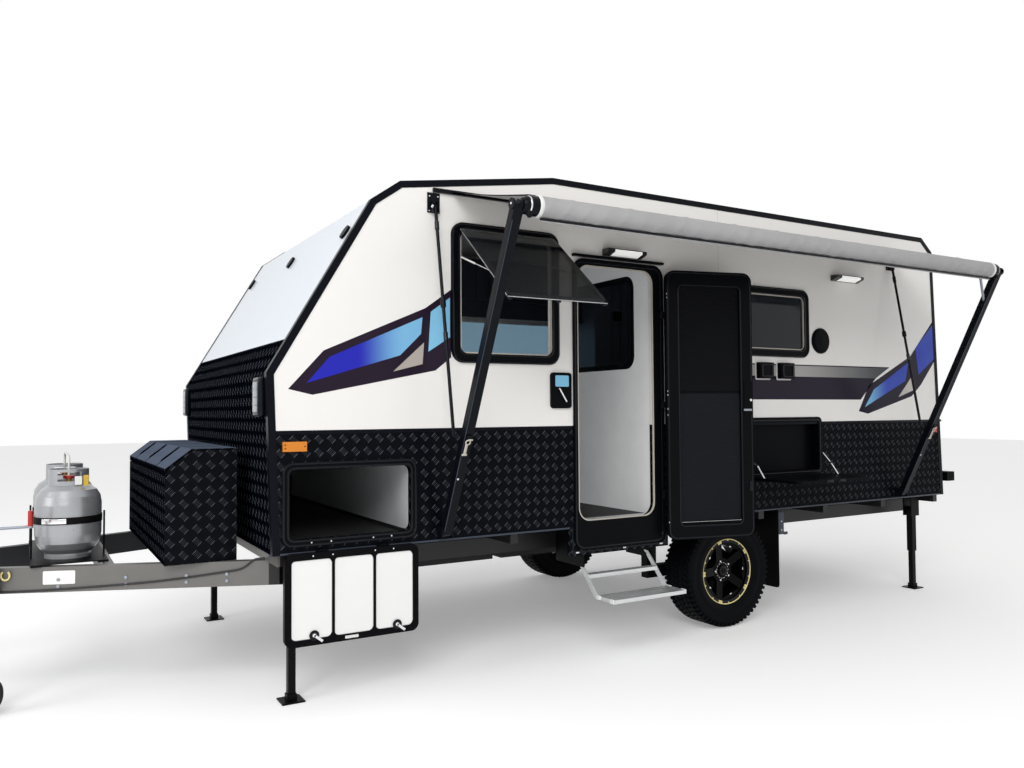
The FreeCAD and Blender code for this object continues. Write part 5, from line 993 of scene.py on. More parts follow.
BACK_EDGE = 7.392
STRIPES = {
    "film_dark": [
        [(2.146, 0.986), (2.268, 0.958), (2.942, 1.092), (3.036, 1.165), (3.036, 1.535),
         (2.883, 1.426), (2.324, 1.181)],
        [(6.440, 0.853), (6.546, 0.834), (7.085, 0.968), (7.205, 1.059), (BACK_EDGE, 1.253),
         (BACK_EDGE, 1.590), (7.076, 1.283), (6.561, 1.047)],
        [(4.620, 0.940), (6.464, 0.940), (6.646, 1.103), (4.620, 1.103)],
        [(4.620, 1.186), (6.812, 1.191), (6.800, 1.183), (4.620, 1.178)]],
    "film_band": [[(4.620, 1.103), (6.646, 1.103), (6.800, 1.183), (4.620, 1.178)]],
    "film_front": [[(2.238, 1.017), (2.737, 1.168), (2.857, 1.286), (2.866, 1.376),
                    (2.355, 1.150)]],
    "film_light": [[(2.900, 1.192), (3.030, 1.275), (3.030, 1.492), (2.915, 1.408)]],
    "film_rear": [[(6.511, 0.884), (7.009, 1.088), (7.050, 1.234), (6.620, 1.017)],
                  [(7.179, 1.140), (7.383, 1.269), (7.383, 1.552), (7.143, 1.350)]],
    "film_silver": [[(2.698, 1.082), (2.866, 1.125), (2.875, 1.241)],
                    [(6.918, 0.961), (7.112, 1.017), (7.087, 1.122)]],
}
for label, outlines in STRIPES.items():
    lift = FILM if label in ("film_dark", "film_band") else 2 * FILM
    near = joined(*[slab(outline, "xz", WALL_FACE - lift, lift) for outline in outlines])
    piece(label + "_near", near, label)
    piece(label + "_far", mirrored_side(near), label)

# %% [markdown]
# The awning is part out: coated cloth runs from the rail on the wall to the roll on the arms, and the roll
# is a tube of cloth whose surface is drawn into slanting creases.

# %% Awning cloth and roll
rail_low, rail_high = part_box("awning_fabric")
SHEET_START, SHEET_END = rail_low.x, rail_high.x
RAIL_EDGE = np.array([rail_high.y, rail_high.z])
ROLL_EDGE = np.array([rail_low.y, rail_low.z + 0.004])
SAG, WAVE = 0.008, 0.0012


def sagging_sheet(rows=24, columns=160):
    """Points between the rail and the roll: a straight line that dips by sag * 4 t (1 - t)."""
    t = np.linspace(0, 1, rows)[:, None]
    x = np.linspace(SHEET_START, SHEET_END, columns)[None, :]
    waves = WAVE * np.sin(x * 9.0 + 5.0 * t) * np.sin(math.pi * t)
    y = RAIL_EDGE[0] + (ROLL_EDGE[0] - RAIL_EDGE[0]) * t + 0 * x
    z = RAIL_EDGE[1] + (ROLL_EDGE[1] - RAIL_EDGE[1]) * t - SAG * 4 * t * (1 - t) + waves
    return np.stack([np.broadcast_to(x, y.shape), y, z], -1)


top_side = sagging_sheet()
sheet_points = top_side.reshape(-1, 3)
sheet_shape = (sheet_points, [quads(*top_side.shape[:2], closed=False)])
cloth = piece("awning_sheet", sheet_shape, "awning_cloth", closed=False)
wall = cloth.modifiers.new("thickness", "SOLIDIFY")
wall.thickness, wall.offset = 0.0012, 0.0
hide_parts("awning_fabric")
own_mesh(cloth)

# %% [markdown]
# The roll is cloth wound on the metal tube. Its radius is r + c max(0, sin p)^2 +
# d max(0, sin q)^3, where p and q grow along x and with the angle round the roll, so that
# the creases wind slowly. A drum, a strap and a pale ring sit at each end, and the hem's
# black bead hangs below. Levers, screws and a brace belong to the arms.

# %% Awning roll and fittings of the arms
ROLL_Y, ROLL_Z, ROLL_RADIUS = -1.955, 1.824, 0.0495
ALONG_X, ROLL_AT = np.array([1.0, 0.0, 0.0]), np.array([0.0, ROLL_Y, ROLL_Z])
ROLL_START, ROLL_END = 3.100, 6.762
CREASE_PITCH, CREASE, SLACK_PITCH, SLACK = 0.115, 0.0022, 0.37, 0.0026


def rolled_cloth(start, end, rows=420, sides=36):
    """Rings of a creased tube of cloth along X."""
    x = np.linspace(start, end, rows)[:, None]
    a = np.linspace(0, 2 * math.pi, sides, endpoint=False)[None, :]
    fold = np.maximum(0, np.sin(2 * math.pi * x / CREASE_PITCH + 2 * a + 0.9 * np.sin(x * 4.1)))**2
    slack = np.maximum(0, np.sin(2 * math.pi * x / SLACK_PITCH - a + 1.7 * np.sin(x * 1.3)))**3
    r = ROLL_RADIUS + CREASE * fold + SLACK * slack
    return loft(np.stack(np.broadcast_arrays(x, ROLL_Y + r * np.cos(a), ROLL_Z + r * np.sin(a)), -1))


piece("awning_roll_cloth", rolled_cloth(ROLL_START, ROLL_END), "roll_cloth", "awning",
      sharp=60)
ENDS = [(0.0, 1.0), (2 * AWNING_MIDDLE, -1.0)]


def at_ends(build):
    """One shape made at both ends of the awning; x is measured from each end inwards."""
    return joined(*[build(lambda v, s=s, k=k: s + k * v, k) for s, k in ENDS])


def collar(start, long, radius):
    """A short round drum about the roll's axis, with rounded rims."""
    rim = 0.25 * long
    profile = [(radius - rim * 0.6, 0), (radius, rim), (radius, long - rim), (radius - rim * 0.6, long)]
    return at_ends(lambda place, k: loft(turned(profile, ROLL_AT + [place(start), 0, 0],
                                                ALONG_X * k, 40)))


piece("awning_drums", collar(3.002, 0.074, 0.043), "awning_metal", "awning")
piece("awning_straps", collar(3.030, 0.010, 0.0455), "bright_steel", "awning")
piece("awning_rings", collar(3.078, 0.022, 0.0535), "screw_white", "awning")
knobs = at_ends(lambda place, k: button((place(3.032), -1.975, 1.792), (0, 0, -1), 0.013, 0.030, 0.3))
piece("awning_knobs", knobs, "awning_metal", "awning")
piece("awning_hem_bead", rod((ROLL_START, -1.962, 1.7655), (ROLL_END, -1.962, 1.7655), 0.0065),
      "gloss_black", "awning")
piece("awning_hem_edge", rod((ROLL_START, -1.964, 1.7565), (ROLL_END, -1.964, 1.7565), 0.0032, 8),
      "roll_cloth", "awning")

ARM_LEAN, ARM_SPREAD = math.radians(25.6), 1.95
ARM_UP = np.array([0.0, -math.sin(ARM_LEAN), math.cos(ARM_LEAN)])
ARM_OUT = np.array([0.0, -ARM_UP[2], ARM_UP[1]])
ARM_FEET = PINS["awning_fold"] + ALONG_X * np.array([[-ARM_SPREAD], [ARM_SPREAD]])
hoop = turned(0.0035 * np.stack([3.6 + np.cos(np.linspace(0, 5.4, 7)), np.sin(np.linspace(0, 5.4, 7))], 1),
              (0.006, 0.030, 0), (0, 0, 1), 20)
lever = joined(soft_block((-0.007, -0.036, -0.003), (0.007, 0.020, 0.004), 0.002), torus_loft(hoop),
               soft_block((-0.014, -0.046, -0.003), (0.014, -0.034, 0.004), 0.003),
               soft_block((0.006, 0.040, -0.003), (0.030, 0.048, 0.004), 0.002, along=0))
lever = moved(lever, np.stack([ALONG_X, ARM_UP, ARM_OUT], 1), (-0.012, 0, 0))
piece("arm_levers", copies(lever, ARM_FEET + ARM_UP * 0.525 + ARM_OUT * 0.035),
      "gasket", "awning")
low_screws = heads(ARM_FEET + [-0.010, 0, 0] + ARM_UP * 0.335 + ARM_OUT * 0.021, 0.0055, 0.002, ARM_OUT)
piece("arm_low_screws", low_screws, "screw_white", "awning")
# Along each arm's edge runs a lighter slate strip: a painted highlight on the edge.
strip = soft_block((-0.0235, 0.02, -0.0004), (-0.0195, 1.70, 0.0018), 0.0006)
strip = moved(strip, np.stack([ALONG_X, ARM_UP, ARM_OUT], 1))
piece("arm_beads", copies(strip, ARM_FEET + ARM_OUT * 0.021), "slate", "awning")
head_screws = joined(button((side_of("awning_arms", 0, 0), ROLL_Y, ROLL_Z), (-1, 0, 0), 0.0055, 0.002),
                     button((side_of("awning_arms", 0, 1), ROLL_Y, ROLL_Z), (1, 0, 0), 0.0055, 0.002))
piece("arm_head_screws", head_screws, "screw_white", "awning")

brace = rod((6.664, -1.958, 1.776), (6.862, -1.864, 1.628), 0.0085, 12)
piece("arm_brace", brace, "jockey_zinc", "awning")

RAFTER_TOPS = np.array([[2.932, -1.174, 1.975], [6.832, -1.174, 1.975]])
RAFTER_LEAN = math.radians(9.7)
RAFTER_DOWN = np.array([0.0, -math.sin(RAFTER_LEAN), -math.cos(RAFTER_LEAN)])
sleeves = [rod(RAFTER_DOWN * t, RAFTER_DOWN * (t + 0.045), 0.0125, 14) for t in (0.085, 0.700)]
piece("rafter_collars", copies(joined(*sleeves), RAFTER_TOPS), "gloss_black", "rafters")
eye = torus_loft(turned(np.stack([0.0085 + 0.0025 * np.cos(np.linspace(0, 5.5, 8)),
                                  0.0025 * np.sin(np.linspace(0, 5.5, 8))], 1), (0, 0, 0), (1, 0, 0), 20))
eyes = copies(eye, RAFTER_TOPS + [-0.0185, 0, 0])
piece("rafter_eyes", eyes, "bright_steel", "rafters")
corners = [(dx, 0, dz) for dx in (-0.025, 0.025) for dz in (-0.020, 0.060)]
plates = RAFTER_TOPS + [0.0, 0.022, 0.0]
screws = heads((plates[:, None] + np.array(corners)[None]).reshape(-1, 3), 0.0045, 0.0022)
piece("head_plate_screws", screws, "bright_steel")

# %% [markdown]
# Windows, door, boot and table recess have a rounded bead on the face of the frame that
# catches a thin highlight; windows and door have a pale seal inside the opening too. Each
# is a small section carried round a rounded rectangle.

# %% Beads and seals of the openings
HALF_ROUND = [(-0.006, 0.001), (-0.0045, -0.004), (0, -0.0055), (0.0045, -0.004), (0.006, 0.001)]
FLAT_ROUND = [(-0.006, 0.001), (-0.0045, -0.0022), (0, -0.0034), (0.0045, -0.0022), (0.006, 0.001)]
THIN_ROUND = [(-0.006, 0.001), (-0.0045, -0.0009), (0, -0.0015), (0.0045, -0.0009), (0.006, 0.001)]
SEAL = [(-0.007, -0.012), (0.002, -0.012), (0.002, -0.002), (-0.007, -0.002)]
NEAR_VIEWS = [(3.088, 1.190, 3.687, 1.860), (5.270, 1.290, 5.840, 1.670)]
FAR_VIEWS = [(3.300, 1.190, 4.100, 1.860), (5.950, 1.190, 6.650, 1.860)]


def edging(view, grow, radius, level, section):
    """A strip round a view, grown outwards by a margin."""
    x0, z0, x1, z1 = view
    return bead(rect_at((x0 - grow, z0 - grow), (x1 + grow, z1 + grow), radius), "xz", level, section)


window_beads = joined(*[edging(v, 0.044, 0.060, WINDOW_FACE, HALF_ROUND) for v in NEAR_VIEWS],
                      *[edging(v, 0.006, 0.040, WINDOW_FACE, HALF_ROUND) for v in NEAR_VIEWS],
                      *[mirrored_side(edging(v, 0.044, 0.060, WINDOW_FACE, HALF_ROUND)) for v in FAR_VIEWS])
piece("window_beads", window_beads, "gloss_black")
window_seals = joined(*[edging(v, 0.0, 0.030, WALL_FACE, SEAL) for v in NEAR_VIEWS],
                      *[mirrored_side(edging(v, 0.0, 0.030, WALL_FACE, SEAL)) for v in FAR_VIEWS])
piece("window_seals", window_seals, "gasket")
DOOR_VIEW = (3.865, 0.215, 4.445, 1.745)
piece("door_frame_bead", edging((3.865, 0.075, 4.492, 1.745), 0.017, 0.055, DOOR_RIM_FACE, FLAT_ROUND),
      "gloss_black")
piece("door_seal", edging(DOOR_VIEW, 0.0, 0.080, WALL_FACE - 0.002, SEAL), "gasket")
piece("door_sill", soft_block((3.868, WINDOW_FACE, 0.2145), (4.442, -1.060, 0.2190), 0.0015),
      "step_aluminium")
BOOT_VIEW = (2.152, 0.245, 2.794, 0.590)
boot_bead = joined(edging(BOOT_VIEW, 0.028, 0.045, BOOT_RIM_FACE, THIN_ROUND),
                   edging(BOOT_VIEW, 0.006, 0.030, BOOT_RIM_FACE, THIN_ROUND))
piece("boot_beads", boot_bead, "gloss_black")
table_bead = edging((5.318, 0.438, 5.982, 0.782), 0.012, 0.020, BOOT_RIM_FACE, FLAT_ROUND)
piece("table_bead", table_bead, "gloss_black")

# %% [markdown]
# The window's sash hangs open at 50 degrees. Rails run down its edges, a stay on each side
# holds it, and a dark bar with three catches closes its lower edge.

# %% Sash rails, stays and catches
SASH_OPEN, SASH_LONG = math.radians(50), 0.69
SASH_LOW, SASH_HIGH = (side_of("window_sash", 0, end) for end in (0, 1))
SASH_TOP = np.array([0.0, -1.164, 1.886])
SASH_DOWN = np.array([0.0, -math.sin(SASH_OPEN), -math.cos(SASH_OPEN)])
SASH_IN = np.array([0.0, SASH_DOWN[2] * -1.0, SASH_DOWN[1]])


def on_sash(x, t, lift):
    """A point on the sash: t of the way down it and lifted off its inner face."""
    return SASH_TOP + [x, 0, 0] + SASH_DOWN * (SASH_LONG * t) + SASH_IN * (0.006 + lift)


rails = joined(*[rod(on_sash(x, 0.02, lift), on_sash(x, 0.985, lift), 0.0028, 8)
                 for x, lift in ((SASH_LOW + 0.004, 0.003), (SASH_LOW + 0.016, 0.011),
                                 (SASH_HIGH - 0.004, 0.003), (SASH_HIGH - 0.016, 0.011))])
piece("sash_rails", rails, "bright_steel")
bar = loft(np.stack([np.array([on_sash(x, t, lift) for t, lift in
                               ((0.955, 0.0), (0.955, 0.010), (0.985, 0.012), (0.998, 0.006), (0.998, 0.0))])
                     for x in (SASH_LOW + 0.002, SASH_HIGH - 0.002)]))
piece("sash_bar", bar, "gloss_black")
line = rod(on_sash(SASH_LOW + 0.002, 0.999, 0.001), on_sash(SASH_HIGH - 0.002, 0.999, 0.001), 0.0022, 8)
piece("sash_line", line, "bright_steel")
stay_ends = [(np.array([x, -1.162, 1.717]), on_sash(x, 0.645, 0.006)) for x in (3.095, 3.680)]
thick = joined(*[rod(a, 0.53 * a + 0.47 * b, 0.0048) for a, b in stay_ends])
thin = joined(*[rod(a, b, 0.0030) for a, b in stay_ends])
piece("sash_stays", thick, "screw_white")
piece("sash_stay_rods", thin, "bright_steel")
catches = joined(*[soft_block((x - 0.011, -1.688, 1.424), (x + 0.011, -1.668, 1.446), 0.003)
                   for x in (3.100, 3.388, 3.675)])
piece("sash_catches", catches, "gloss_black")

# %% [markdown]
# The door stands 15 degrees off the wall. Its fittings are placed in the leaf's own frame:
# x along the leaf from the hinge, y through it and z up.

# %% Door fittings
LEAF = np.array([[math.cos(OPENED), math.sin(OPENED), 0.0], [-math.sin(OPENED), math.cos(OPENED), 0.0],
                 [0.0, 0.0, 1.0]])
LEAF_AT = (HINGE[0], HINGE[1], 0.0)
LEAF_FACE = -0.030


def on_leaf(shape):
    return moved(shape, LEAF, LEAF_AT)


leaf_bead = bead(rect_at((0.098, 0.144), (0.536, 1.660), 0.030), "xz", LEAF_FACE, FLAT_ROUND)
leaf_edge = bead(rect_at((0.026, 0.072), (0.608, 1.739), 0.045), "xz", LEAF_FACE, FLAT_ROUND)
piece("door_beads", on_leaf(joined(leaf_bead, leaf_edge)), "gloss_black", "entry_door")
blind = joined(soft_block((0.104, -0.0200, 0.977), (0.530, -0.0150, 0.989), 0.002, along=0),
               soft_block((0.104, -0.0265, 0.150), (0.530, -0.0150, 0.168), 0.002, along=0))
piece("screen_rails", on_leaf(blind), "door_black", "entry_door")
piece("screen_sill", on_leaf(rod((0.108, -0.027, 0.169), (0.526, -0.027, 0.169), 0.0011, 8)),
      "bright_steel", "entry_door")
piece("door_key", on_leaf(button((0.600, -0.034, 0.932), (0, -1, 0), 0.0085, 0.006)),
      "bright_steel", "entry_door")
pull = on_leaf(joined(soft_block((0.545, -0.047, 0.862), (0.602, -0.038, 0.876), 0.003, along=0),
                      rod((0.594, -0.033, 0.869), (0.594, -0.042, 0.869), 0.006)))
piece("door_lever", pull, "jockey_zinc", "entry_door")
piece("door_catch", on_leaf(soft_block((0.584, -0.037, 0.350), (0.604, -0.026, 0.415), 0.003)),
      "gloss_black", "entry_door")
spots_on_leaf = [(0.021, LEAF_FACE, z) for z in (0.989, 0.965, 0.878, 0.840, 0.173, 0.076, 1.600, 1.576)]
piece("door_screws", on_leaf(heads(spots_on_leaf, 0.0040, 0.0018)),
      "screw_white", "entry_door")
print("door opened", round(math.degrees(OPENED)), "degrees off the wall")

# %% [markdown]
# The near boot leaf has flat latches with a bright lever, a blank label and two rows of
# hinge screws. The far leaf has plain round latches.

# %% Boot door fittings
LATCHES = [(2.268, BOOT_FACE, -0.2205), (2.704, BOOT_FACE, -0.2240)]
piece("boot_bosses", heads(LATCHES, 0.0250, 0.0012), "gloss_black", "boot_door_near")
swing = moved(joined(soft_block((0.000, -0.0028, -0.0065), (0.054, -0.0011, 0.0065), 0.0008, along=1),
                     button((0, -0.0010, 0), (0, -1, 0), 0.0095, 0.0018)),
              [[0.78, 0, 0.62], [0, 1, 0], [-0.62, 0, 0.78]])
piece("boot_latches", copies(swing, LATCHES), "bright_steel", "boot_door_near")
piece("boot_label", card((2.425, -0.259), (2.495, -0.245), 0.003, BOOT_FACE - FILM, FILM),
      "screw_white", "boot_door_near")
for name, face, height, slot_name, body in (
        ("boot_leaf_screws", BOOT_FACE, 0.166, "boot_panel", "boot_door_near"),
        ("boot_frame_screws", BOOT_RIM_FACE, 0.228, "frame_plastic", "caravan")):
    places = [(LEAF_MIDDLE + across, face, height) for across in (-0.211, -0.111, 0.111, 0.211)]
    piece(name, heads(places, 0.0038, 0.0016), "bright_steel", body)
far_latches = [(LEAF_MIDDLE + across, FAR_BOOT_FACE, 0.626) for across in (-0.215, 0.215)]
piece("boot_bosses_far", heads(far_latches, 0.0155, 0.006, (0, 1, 0)),
      "gloss_black", "boot_door_far")

# %% [markdown]
# Behind the doorway the screen's cut-out has a black edging, and a dark socket sits on the tall cupboard. A
# pale splashback above the kitchen shows light blue through the window, and it glows a little with painted
# light.

# %% Inside
cut_low, cut_high, cut_round = (-0.945, 1.145), (-0.125, 1.755), 0.080
turns = rect_at(cut_low, cut_high, cut_round, 7)[7:21]
view_line = np.vstack([[-0.2985, cut_high[1]], turns, [-0.2985, cut_low[1]]])
CUT_SECTION = [(-0.034, 0), (0.002, 0), (0.002, 0.026), (-0.034, 0.026)]
view_edge = bead(view_line, "yz", side_of("partition", 0, 0) - 0.003, CUT_SECTION, False)
piece("partition_edging", view_edge, "gloss_black")
kitchen_back = card((3.90, 1.120), (5.27, 1.635), 0.01, 1.112, 0.004)
piece("kitchen_splashback", kitchen_back, "splash_blue")
socket = card((5.485, 1.655), (5.575, 1.740), 0.012, 0.600, 0.006)
piece("cupboard_socket", socket, "gloss_black")
worktop = soft_block((3.860, 0.590, 1.112), (5.287, 1.112, 1.1205), 0.003)
piece("kitchen_worktop", worktop, "gasket")
skirt = card((3.866, 1.640), (5.284, 1.783), 0.004, 0.786, 0.012)
piece("locker_skirt", skirt, "cabinet_dark")
DOOR_GAPS, GAP_HALF = (4.220, 4.575, 4.930), 0.0015
lines = joined(*[box_shape((x - GAP_HALF, 0.6045, 0.235), (x + GAP_HALF, 0.607, 1.100)) for x in DOOR_GAPS],
               *[box_shape((x - GAP_HALF, 0.7845, 1.790), (x + GAP_HALF, 0.787, 2.112)) for x in DOOR_GAPS],
               box_shape((5.558, 0.6045, 0.235), (5.562, 0.607, 2.100)))
piece("cupboard_gaps", lines, "gloss_black")

# %% [markdown]
# The picnic table rests on two folding stays beside its recess. They have no joint of their
# own: both links belong to the wall and stand clear of the table as it folds.

# %% Table stays
UPPER = [((5.279, -1.156, 0.531), (5.279, -1.222, 0.497)), ((6.021, -1.156, 0.556), (6.021, -1.221, 0.489))]
LOWER = [((5.279, -1.225, 0.496), (5.279, -1.286, 0.413)), ((6.021, -1.222, 0.488), (6.021, -1.282, 0.411))]
for name, links in (("stay_uppers", UPPER), ("stay_lowers", LOWER)):
    bars = joined(*[loft(carried(np.linspace(a, b, 2), round_rectangle(0.0030, 0.013, 0.0014, 3), (1, 0, 0)))
                    for a, b in links])
    piece("table_" + name, bars, "bright_steel")
knuckles = joined(*[button((x - 0.004, y, z), (1, 0, 0), 0.0075, 0.008) for x, y, z in
                    ((5.279, -1.2235, 0.4965), (6.021, -1.2215, 0.4885))])
piece("table_knuckles", knuckles, "gloss_black")
catch = joined(soft_block((5.560, -1.5625, 0.3925), (5.620, -1.5560, 0.4075), 0.002),
               soft_block((5.680, -1.5625, 0.3925), (5.740, -1.5560, 0.4075), 0.002))
piece("table_catches", catch, "gloss_black", "picnic_table")

# %% [markdown]
# A tyre is a carcass turned from its profile, with lugs whose corners stand at angle +-
# half, across +- half, on two radii. The same arrays serve the near, far and spare wheels.

# %% Tyres and wheel details
HALF_TYRE = [(0.3615, 0.0), (0.3610, 0.060), (0.3590, 0.095), (0.3530, 0.109), (0.3440, 0.1155),
             (0.3400, 0.1165), (0.3360, 0.1205), (0.3100, 0.1222), (0.3070, 0.1212), (0.2750, 0.1205),
             (0.2720, 0.1214), (0.2500, 0.1165), (0.2290, 0.1070), (0.2200, 0.1020), (0.2165, 0.0950),
             (0.2045, 0.0890)]
TREAD_ROWS = [(0.000, 0.017, 0.0400, 0.020, 0.000), (0.041, 0.018, 0.0400, -0.018, 0.052),
              (-0.041, 0.018, 0.0400, -0.018, 0.052), (0.083, 0.017, 0.0385, 0.012, 0.010),
              (-0.083, 0.017, 0.0385, 0.012, 0.010)]
SHOULDERS = [(0.1085, 0.0125, 0.030, 0.0, 0.010), (-0.1085, 0.0125, 0.030, 0.0, 0.010)]


def tread_blocks(rows, count, base, crown):
    """Lugs in rows round a tyre, each a box with eight corners."""
    rows = np.asarray(rows, float)
    middle, half, spread, skew, phase = [rows[:, k, None, None] for k in range(5)]
    corner = np.array([[-1, -1], [1, -1], [1, 1], [-1, 1]], float)
    around = 2 * math.pi * np.arange(count)[None, :, None] / count + phase
    layers = []
    for radius, share in ((base, 1.0), (crown, 0.86)):
        across = middle + share * half * corner[:, 1] + 0 * around
        angle = around + share * spread * corner[:, 0] + skew * corner[:, 1]
        layers.append(np.stack([radius * np.cos(angle), radius * np.sin(angle), across], -1))
    points = np.stack(layers, -2).reshape(-1, 8, 3)
    sides = np.array([[0, 2, 4, 6], [1, 7, 5, 3], [0, 1, 3, 2], [2, 3, 5, 4], [4, 5, 7, 6], [6, 7, 1, 0]])
    shift = 8 * np.arange(len(points))[:, None, None]
    return points.reshape(-1, 3), [(sides[None] + shift).reshape(-1, 4)]


profile = np.array(HALF_TYRE + [(r, -w) for r, w in HALF_TYRE[:0:-1]])
carcass = torus_loft(turned(profile, (0, 0, 0), (0, 0, 1), 96))
LUGS, TREAD_RADII, SHOULDER_RADII = 60, (0.358, 0.3678), (0.338, 0.3610)
tyre = joined(carcass, tread_blocks(TREAD_ROWS, LUGS, *TREAD_RADII),
              tread_blocks(SHOULDERS, LUGS, *SHOULDER_RADII))
OUTWARD_NEAR = np.array([[1, 0, 0], [0, 0, -1], [0, 1, 0]], float)
OUTWARD_REAR = np.array([[0, 0, 1], [1, 0, 0], [0, 1, 0]], float)
AXLE = PINS["near_wheel_spin"]
WHEEL_AT = (AXLE[0], middle_of("tyre_near", 1), AXLE[2])
SPARE_AT = [middle_of("spare_tyre", axis) for axis in range(3)]
placed = {"near": lambda shape: moved(shape, OUTWARD_NEAR, WHEEL_AT),
          "far": lambda shape: mirrored_side(moved(shape, OUTWARD_NEAR, WHEEL_AT)),
          "spare": lambda shape: moved(shape, OUTWARD_REAR, SPARE_AT)}
RIM_FACE, HUB_FACE, BOLT_CIRCLE = 0.0942, 0.0529, 0.0655
FIFTH, TAB_TURN, PAIR_TURN = 72, 21, 2.4
flange = [(0.1945, 0.0004), (0.2040, 0.0014), (0.2120, 0.0036), (0.2170, 0.0060), (0.2182, 0.0035),
          (0.2165, -0.0040), (0.2045, -0.0060), (0.1945, -0.0040)]
flange = torus_loft(turned(np.array(flange), (0, 0, RIM_FACE), (0, 0, 1), 120))
lip = [(0.2118, 0.0030), (0.2125, 0.0046), (0.2165, 0.0070), (0.2178, 0.0068), (0.2184, 0.0040),
       (0.2150, 0.0020)]
ring = torus_loft(turned(np.array(lip), (0, 0, RIM_FACE), (0, 0, 1), 120))
gold_tabs = joined(
    *[sector(0.2045, 0.2130, math.radians((k + 0.5) * FIFTH + step), 0.020, RIM_FACE + 0.0010, 0.0044)
      for k in range(5) for step in (-TAB_TURN, TAB_TURN)],
    *[sector(0.1960, 0.2130, math.radians((k + 0.5) * FIFTH + step), 0.034, RIM_FACE + 0.0005, 0.0049)
      for k in range(5) for step in (-PAIR_TURN, PAIR_TURN)])
silver_tabs = joined(*[sector(0.163, 0.1700, math.radians(k * FIFTH), 0.045, 0.0755, 0.0030, 6)
                       for k in range(5)])
dashes = joined(*[sector(0.050, 0.0545, math.radians(24 * k), 0.10, HUB_FACE, 0.0014, 5)
                  for k in range(15)])
cap = loft(turned([(0.037, 0), (0.037, 0.004), (0.033, 0.011), (0.020, 0.0145), (0.006, 0.0155)],
                  (0, 0, HUB_FACE), (0, 0, 1), 40))
bolt_turns = np.radians((np.arange(5) + 0.5) * FIFTH)
nut_places = np.stack([BOLT_CIRCLE * np.cos(bolt_turns), BOLT_CIRCLE * np.sin(bolt_turns),
                       HUB_FACE + 0 * bolt_turns], 1)
nuts = heads(nut_places, 0.0068, 0.008, (0, 0, 1))
dot = button((0, 0, HUB_FACE + 0.0150), (0, 0, 1), 0.0045, 0.0012)
for side, body, node in (("near", "wheel_near", "tyre_near"), ("far", "wheel_far", "tyre_far"),
                         ("spare", "caravan", "spare_tyre")):
    put = placed[side]
    made = piece("tyre_form_" + side, put(tyre), "tyre", body)
    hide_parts(node)
    piece("rim_flange_" + side, put(flange), "gloss_black", body)
    piece("rim_ring_" + side, put(joined(ring, gold_tabs)), "gold", body)
    piece("rim_tabs_" + side, put(joined(silver_tabs, nuts)), "bright_steel", body)
    piece("rim_dashes_" + side, put(joined(dashes, dot)), "gasket", body)
    piece("rim_cap_" + side, put(cap), "gloss_black", body)

# %% [markdown]
# Small things on the drawbar: pairs of bolts on its outer face, a blank plate, the strap
# and toggle round each bottle with its two blank tags, and the shackle near the nose. The
# step has end caps, and a frame with clips runs round the sill panel.

# %% Drawbar, bottles and step
RAKE = math.radians(22.5)
RAIL_END_X, RAIL_END_Y = 2.2, -0.923
RAIL_OUT = np.array([-math.sin(RAKE), -math.cos(RAKE), 0.0])
RAIL_ALONG = np.array([RAIL_OUT[1] * -1.0, RAIL_OUT[0], 0.0])


def on_rail(x, z, lift=0.0):
    """A point on the near drawbar rail's outer face."""
    return np.array([x, RAIL_END_Y + (RAIL_END_X - x) * math.tan(RAKE), z]) + RAIL_OUT * lift


pairs = [on_rail(x, z) for x in (0.62, 1.187, 1.480, 1.748, 1.930) for z in (0.018, 0.052)]
bolts = heads(pairs, 0.0085, 0.007, RAIL_OUT)
piece("drawbar_bolts", both_sides(bolts), "jockey_zinc")
turn = np.stack([RAIL_ALONG, np.array([0, 0, 1.0]), RAIL_OUT], 1)
tag = slab(round_rectangle(0.150, 0.066, 0.006), "xy", 0.0, 0.0015)
tag = moved(tag, turn, on_rail(1.190, 0.062, 0.0002))
piece("drawbar_plate", tag, "boot_panel")
hoop = np.stack([0.020 * np.sin(np.linspace(-2.5, 2.5, 20)), -0.022 * np.cos(np.linspace(-2.5, 2.5, 20))], 1)
hoop = on_rail(0.965, 0.080, 0.012) + hoop[:, :1] * RAIL_ALONG + hoop[:, 1:] * np.array([0, 0, 1.0])
piece("drawbar_shackle", tube(hoop, 0.0050, 10, RAIL_OUT), "gold")

BOTTLE = np.array([1.239, -0.250, 0.0])
band = [(0.1572, -0.018), (0.1600, -0.018), (0.1600, 0.018), (0.1572, 0.018)]
straps = torus_loft(turned(np.array(band), BOTTLE + [0, 0, 0.325], (0, 0, 1), 72))
piece("bottle_straps", both_sides(straps), "flap_rubber")
arc = np.radians(np.linspace(-140, -96, 12))
hook = BOTTLE + np.stack([0.1615 * np.cos(arc), 0.1615 * np.sin(arc), 0.325 + 0 * arc], 1)
piece("bottle_toggles", both_sides(loft(carried(hook, round_rectangle(0.004, 0.026, 0.0015)))),
      "bright_steel")
piece("bottle_tags", both_sides(card((1.262, 0.503), (1.296, 0.548), 0.004, -0.3475, 0.0015)),
      "screw_white")
piece("bottle_cards", both_sides(card((1.302, 0.496), (1.326, 0.552), 0.004, -0.3400, 0.0015)),
      "tag_yellow")

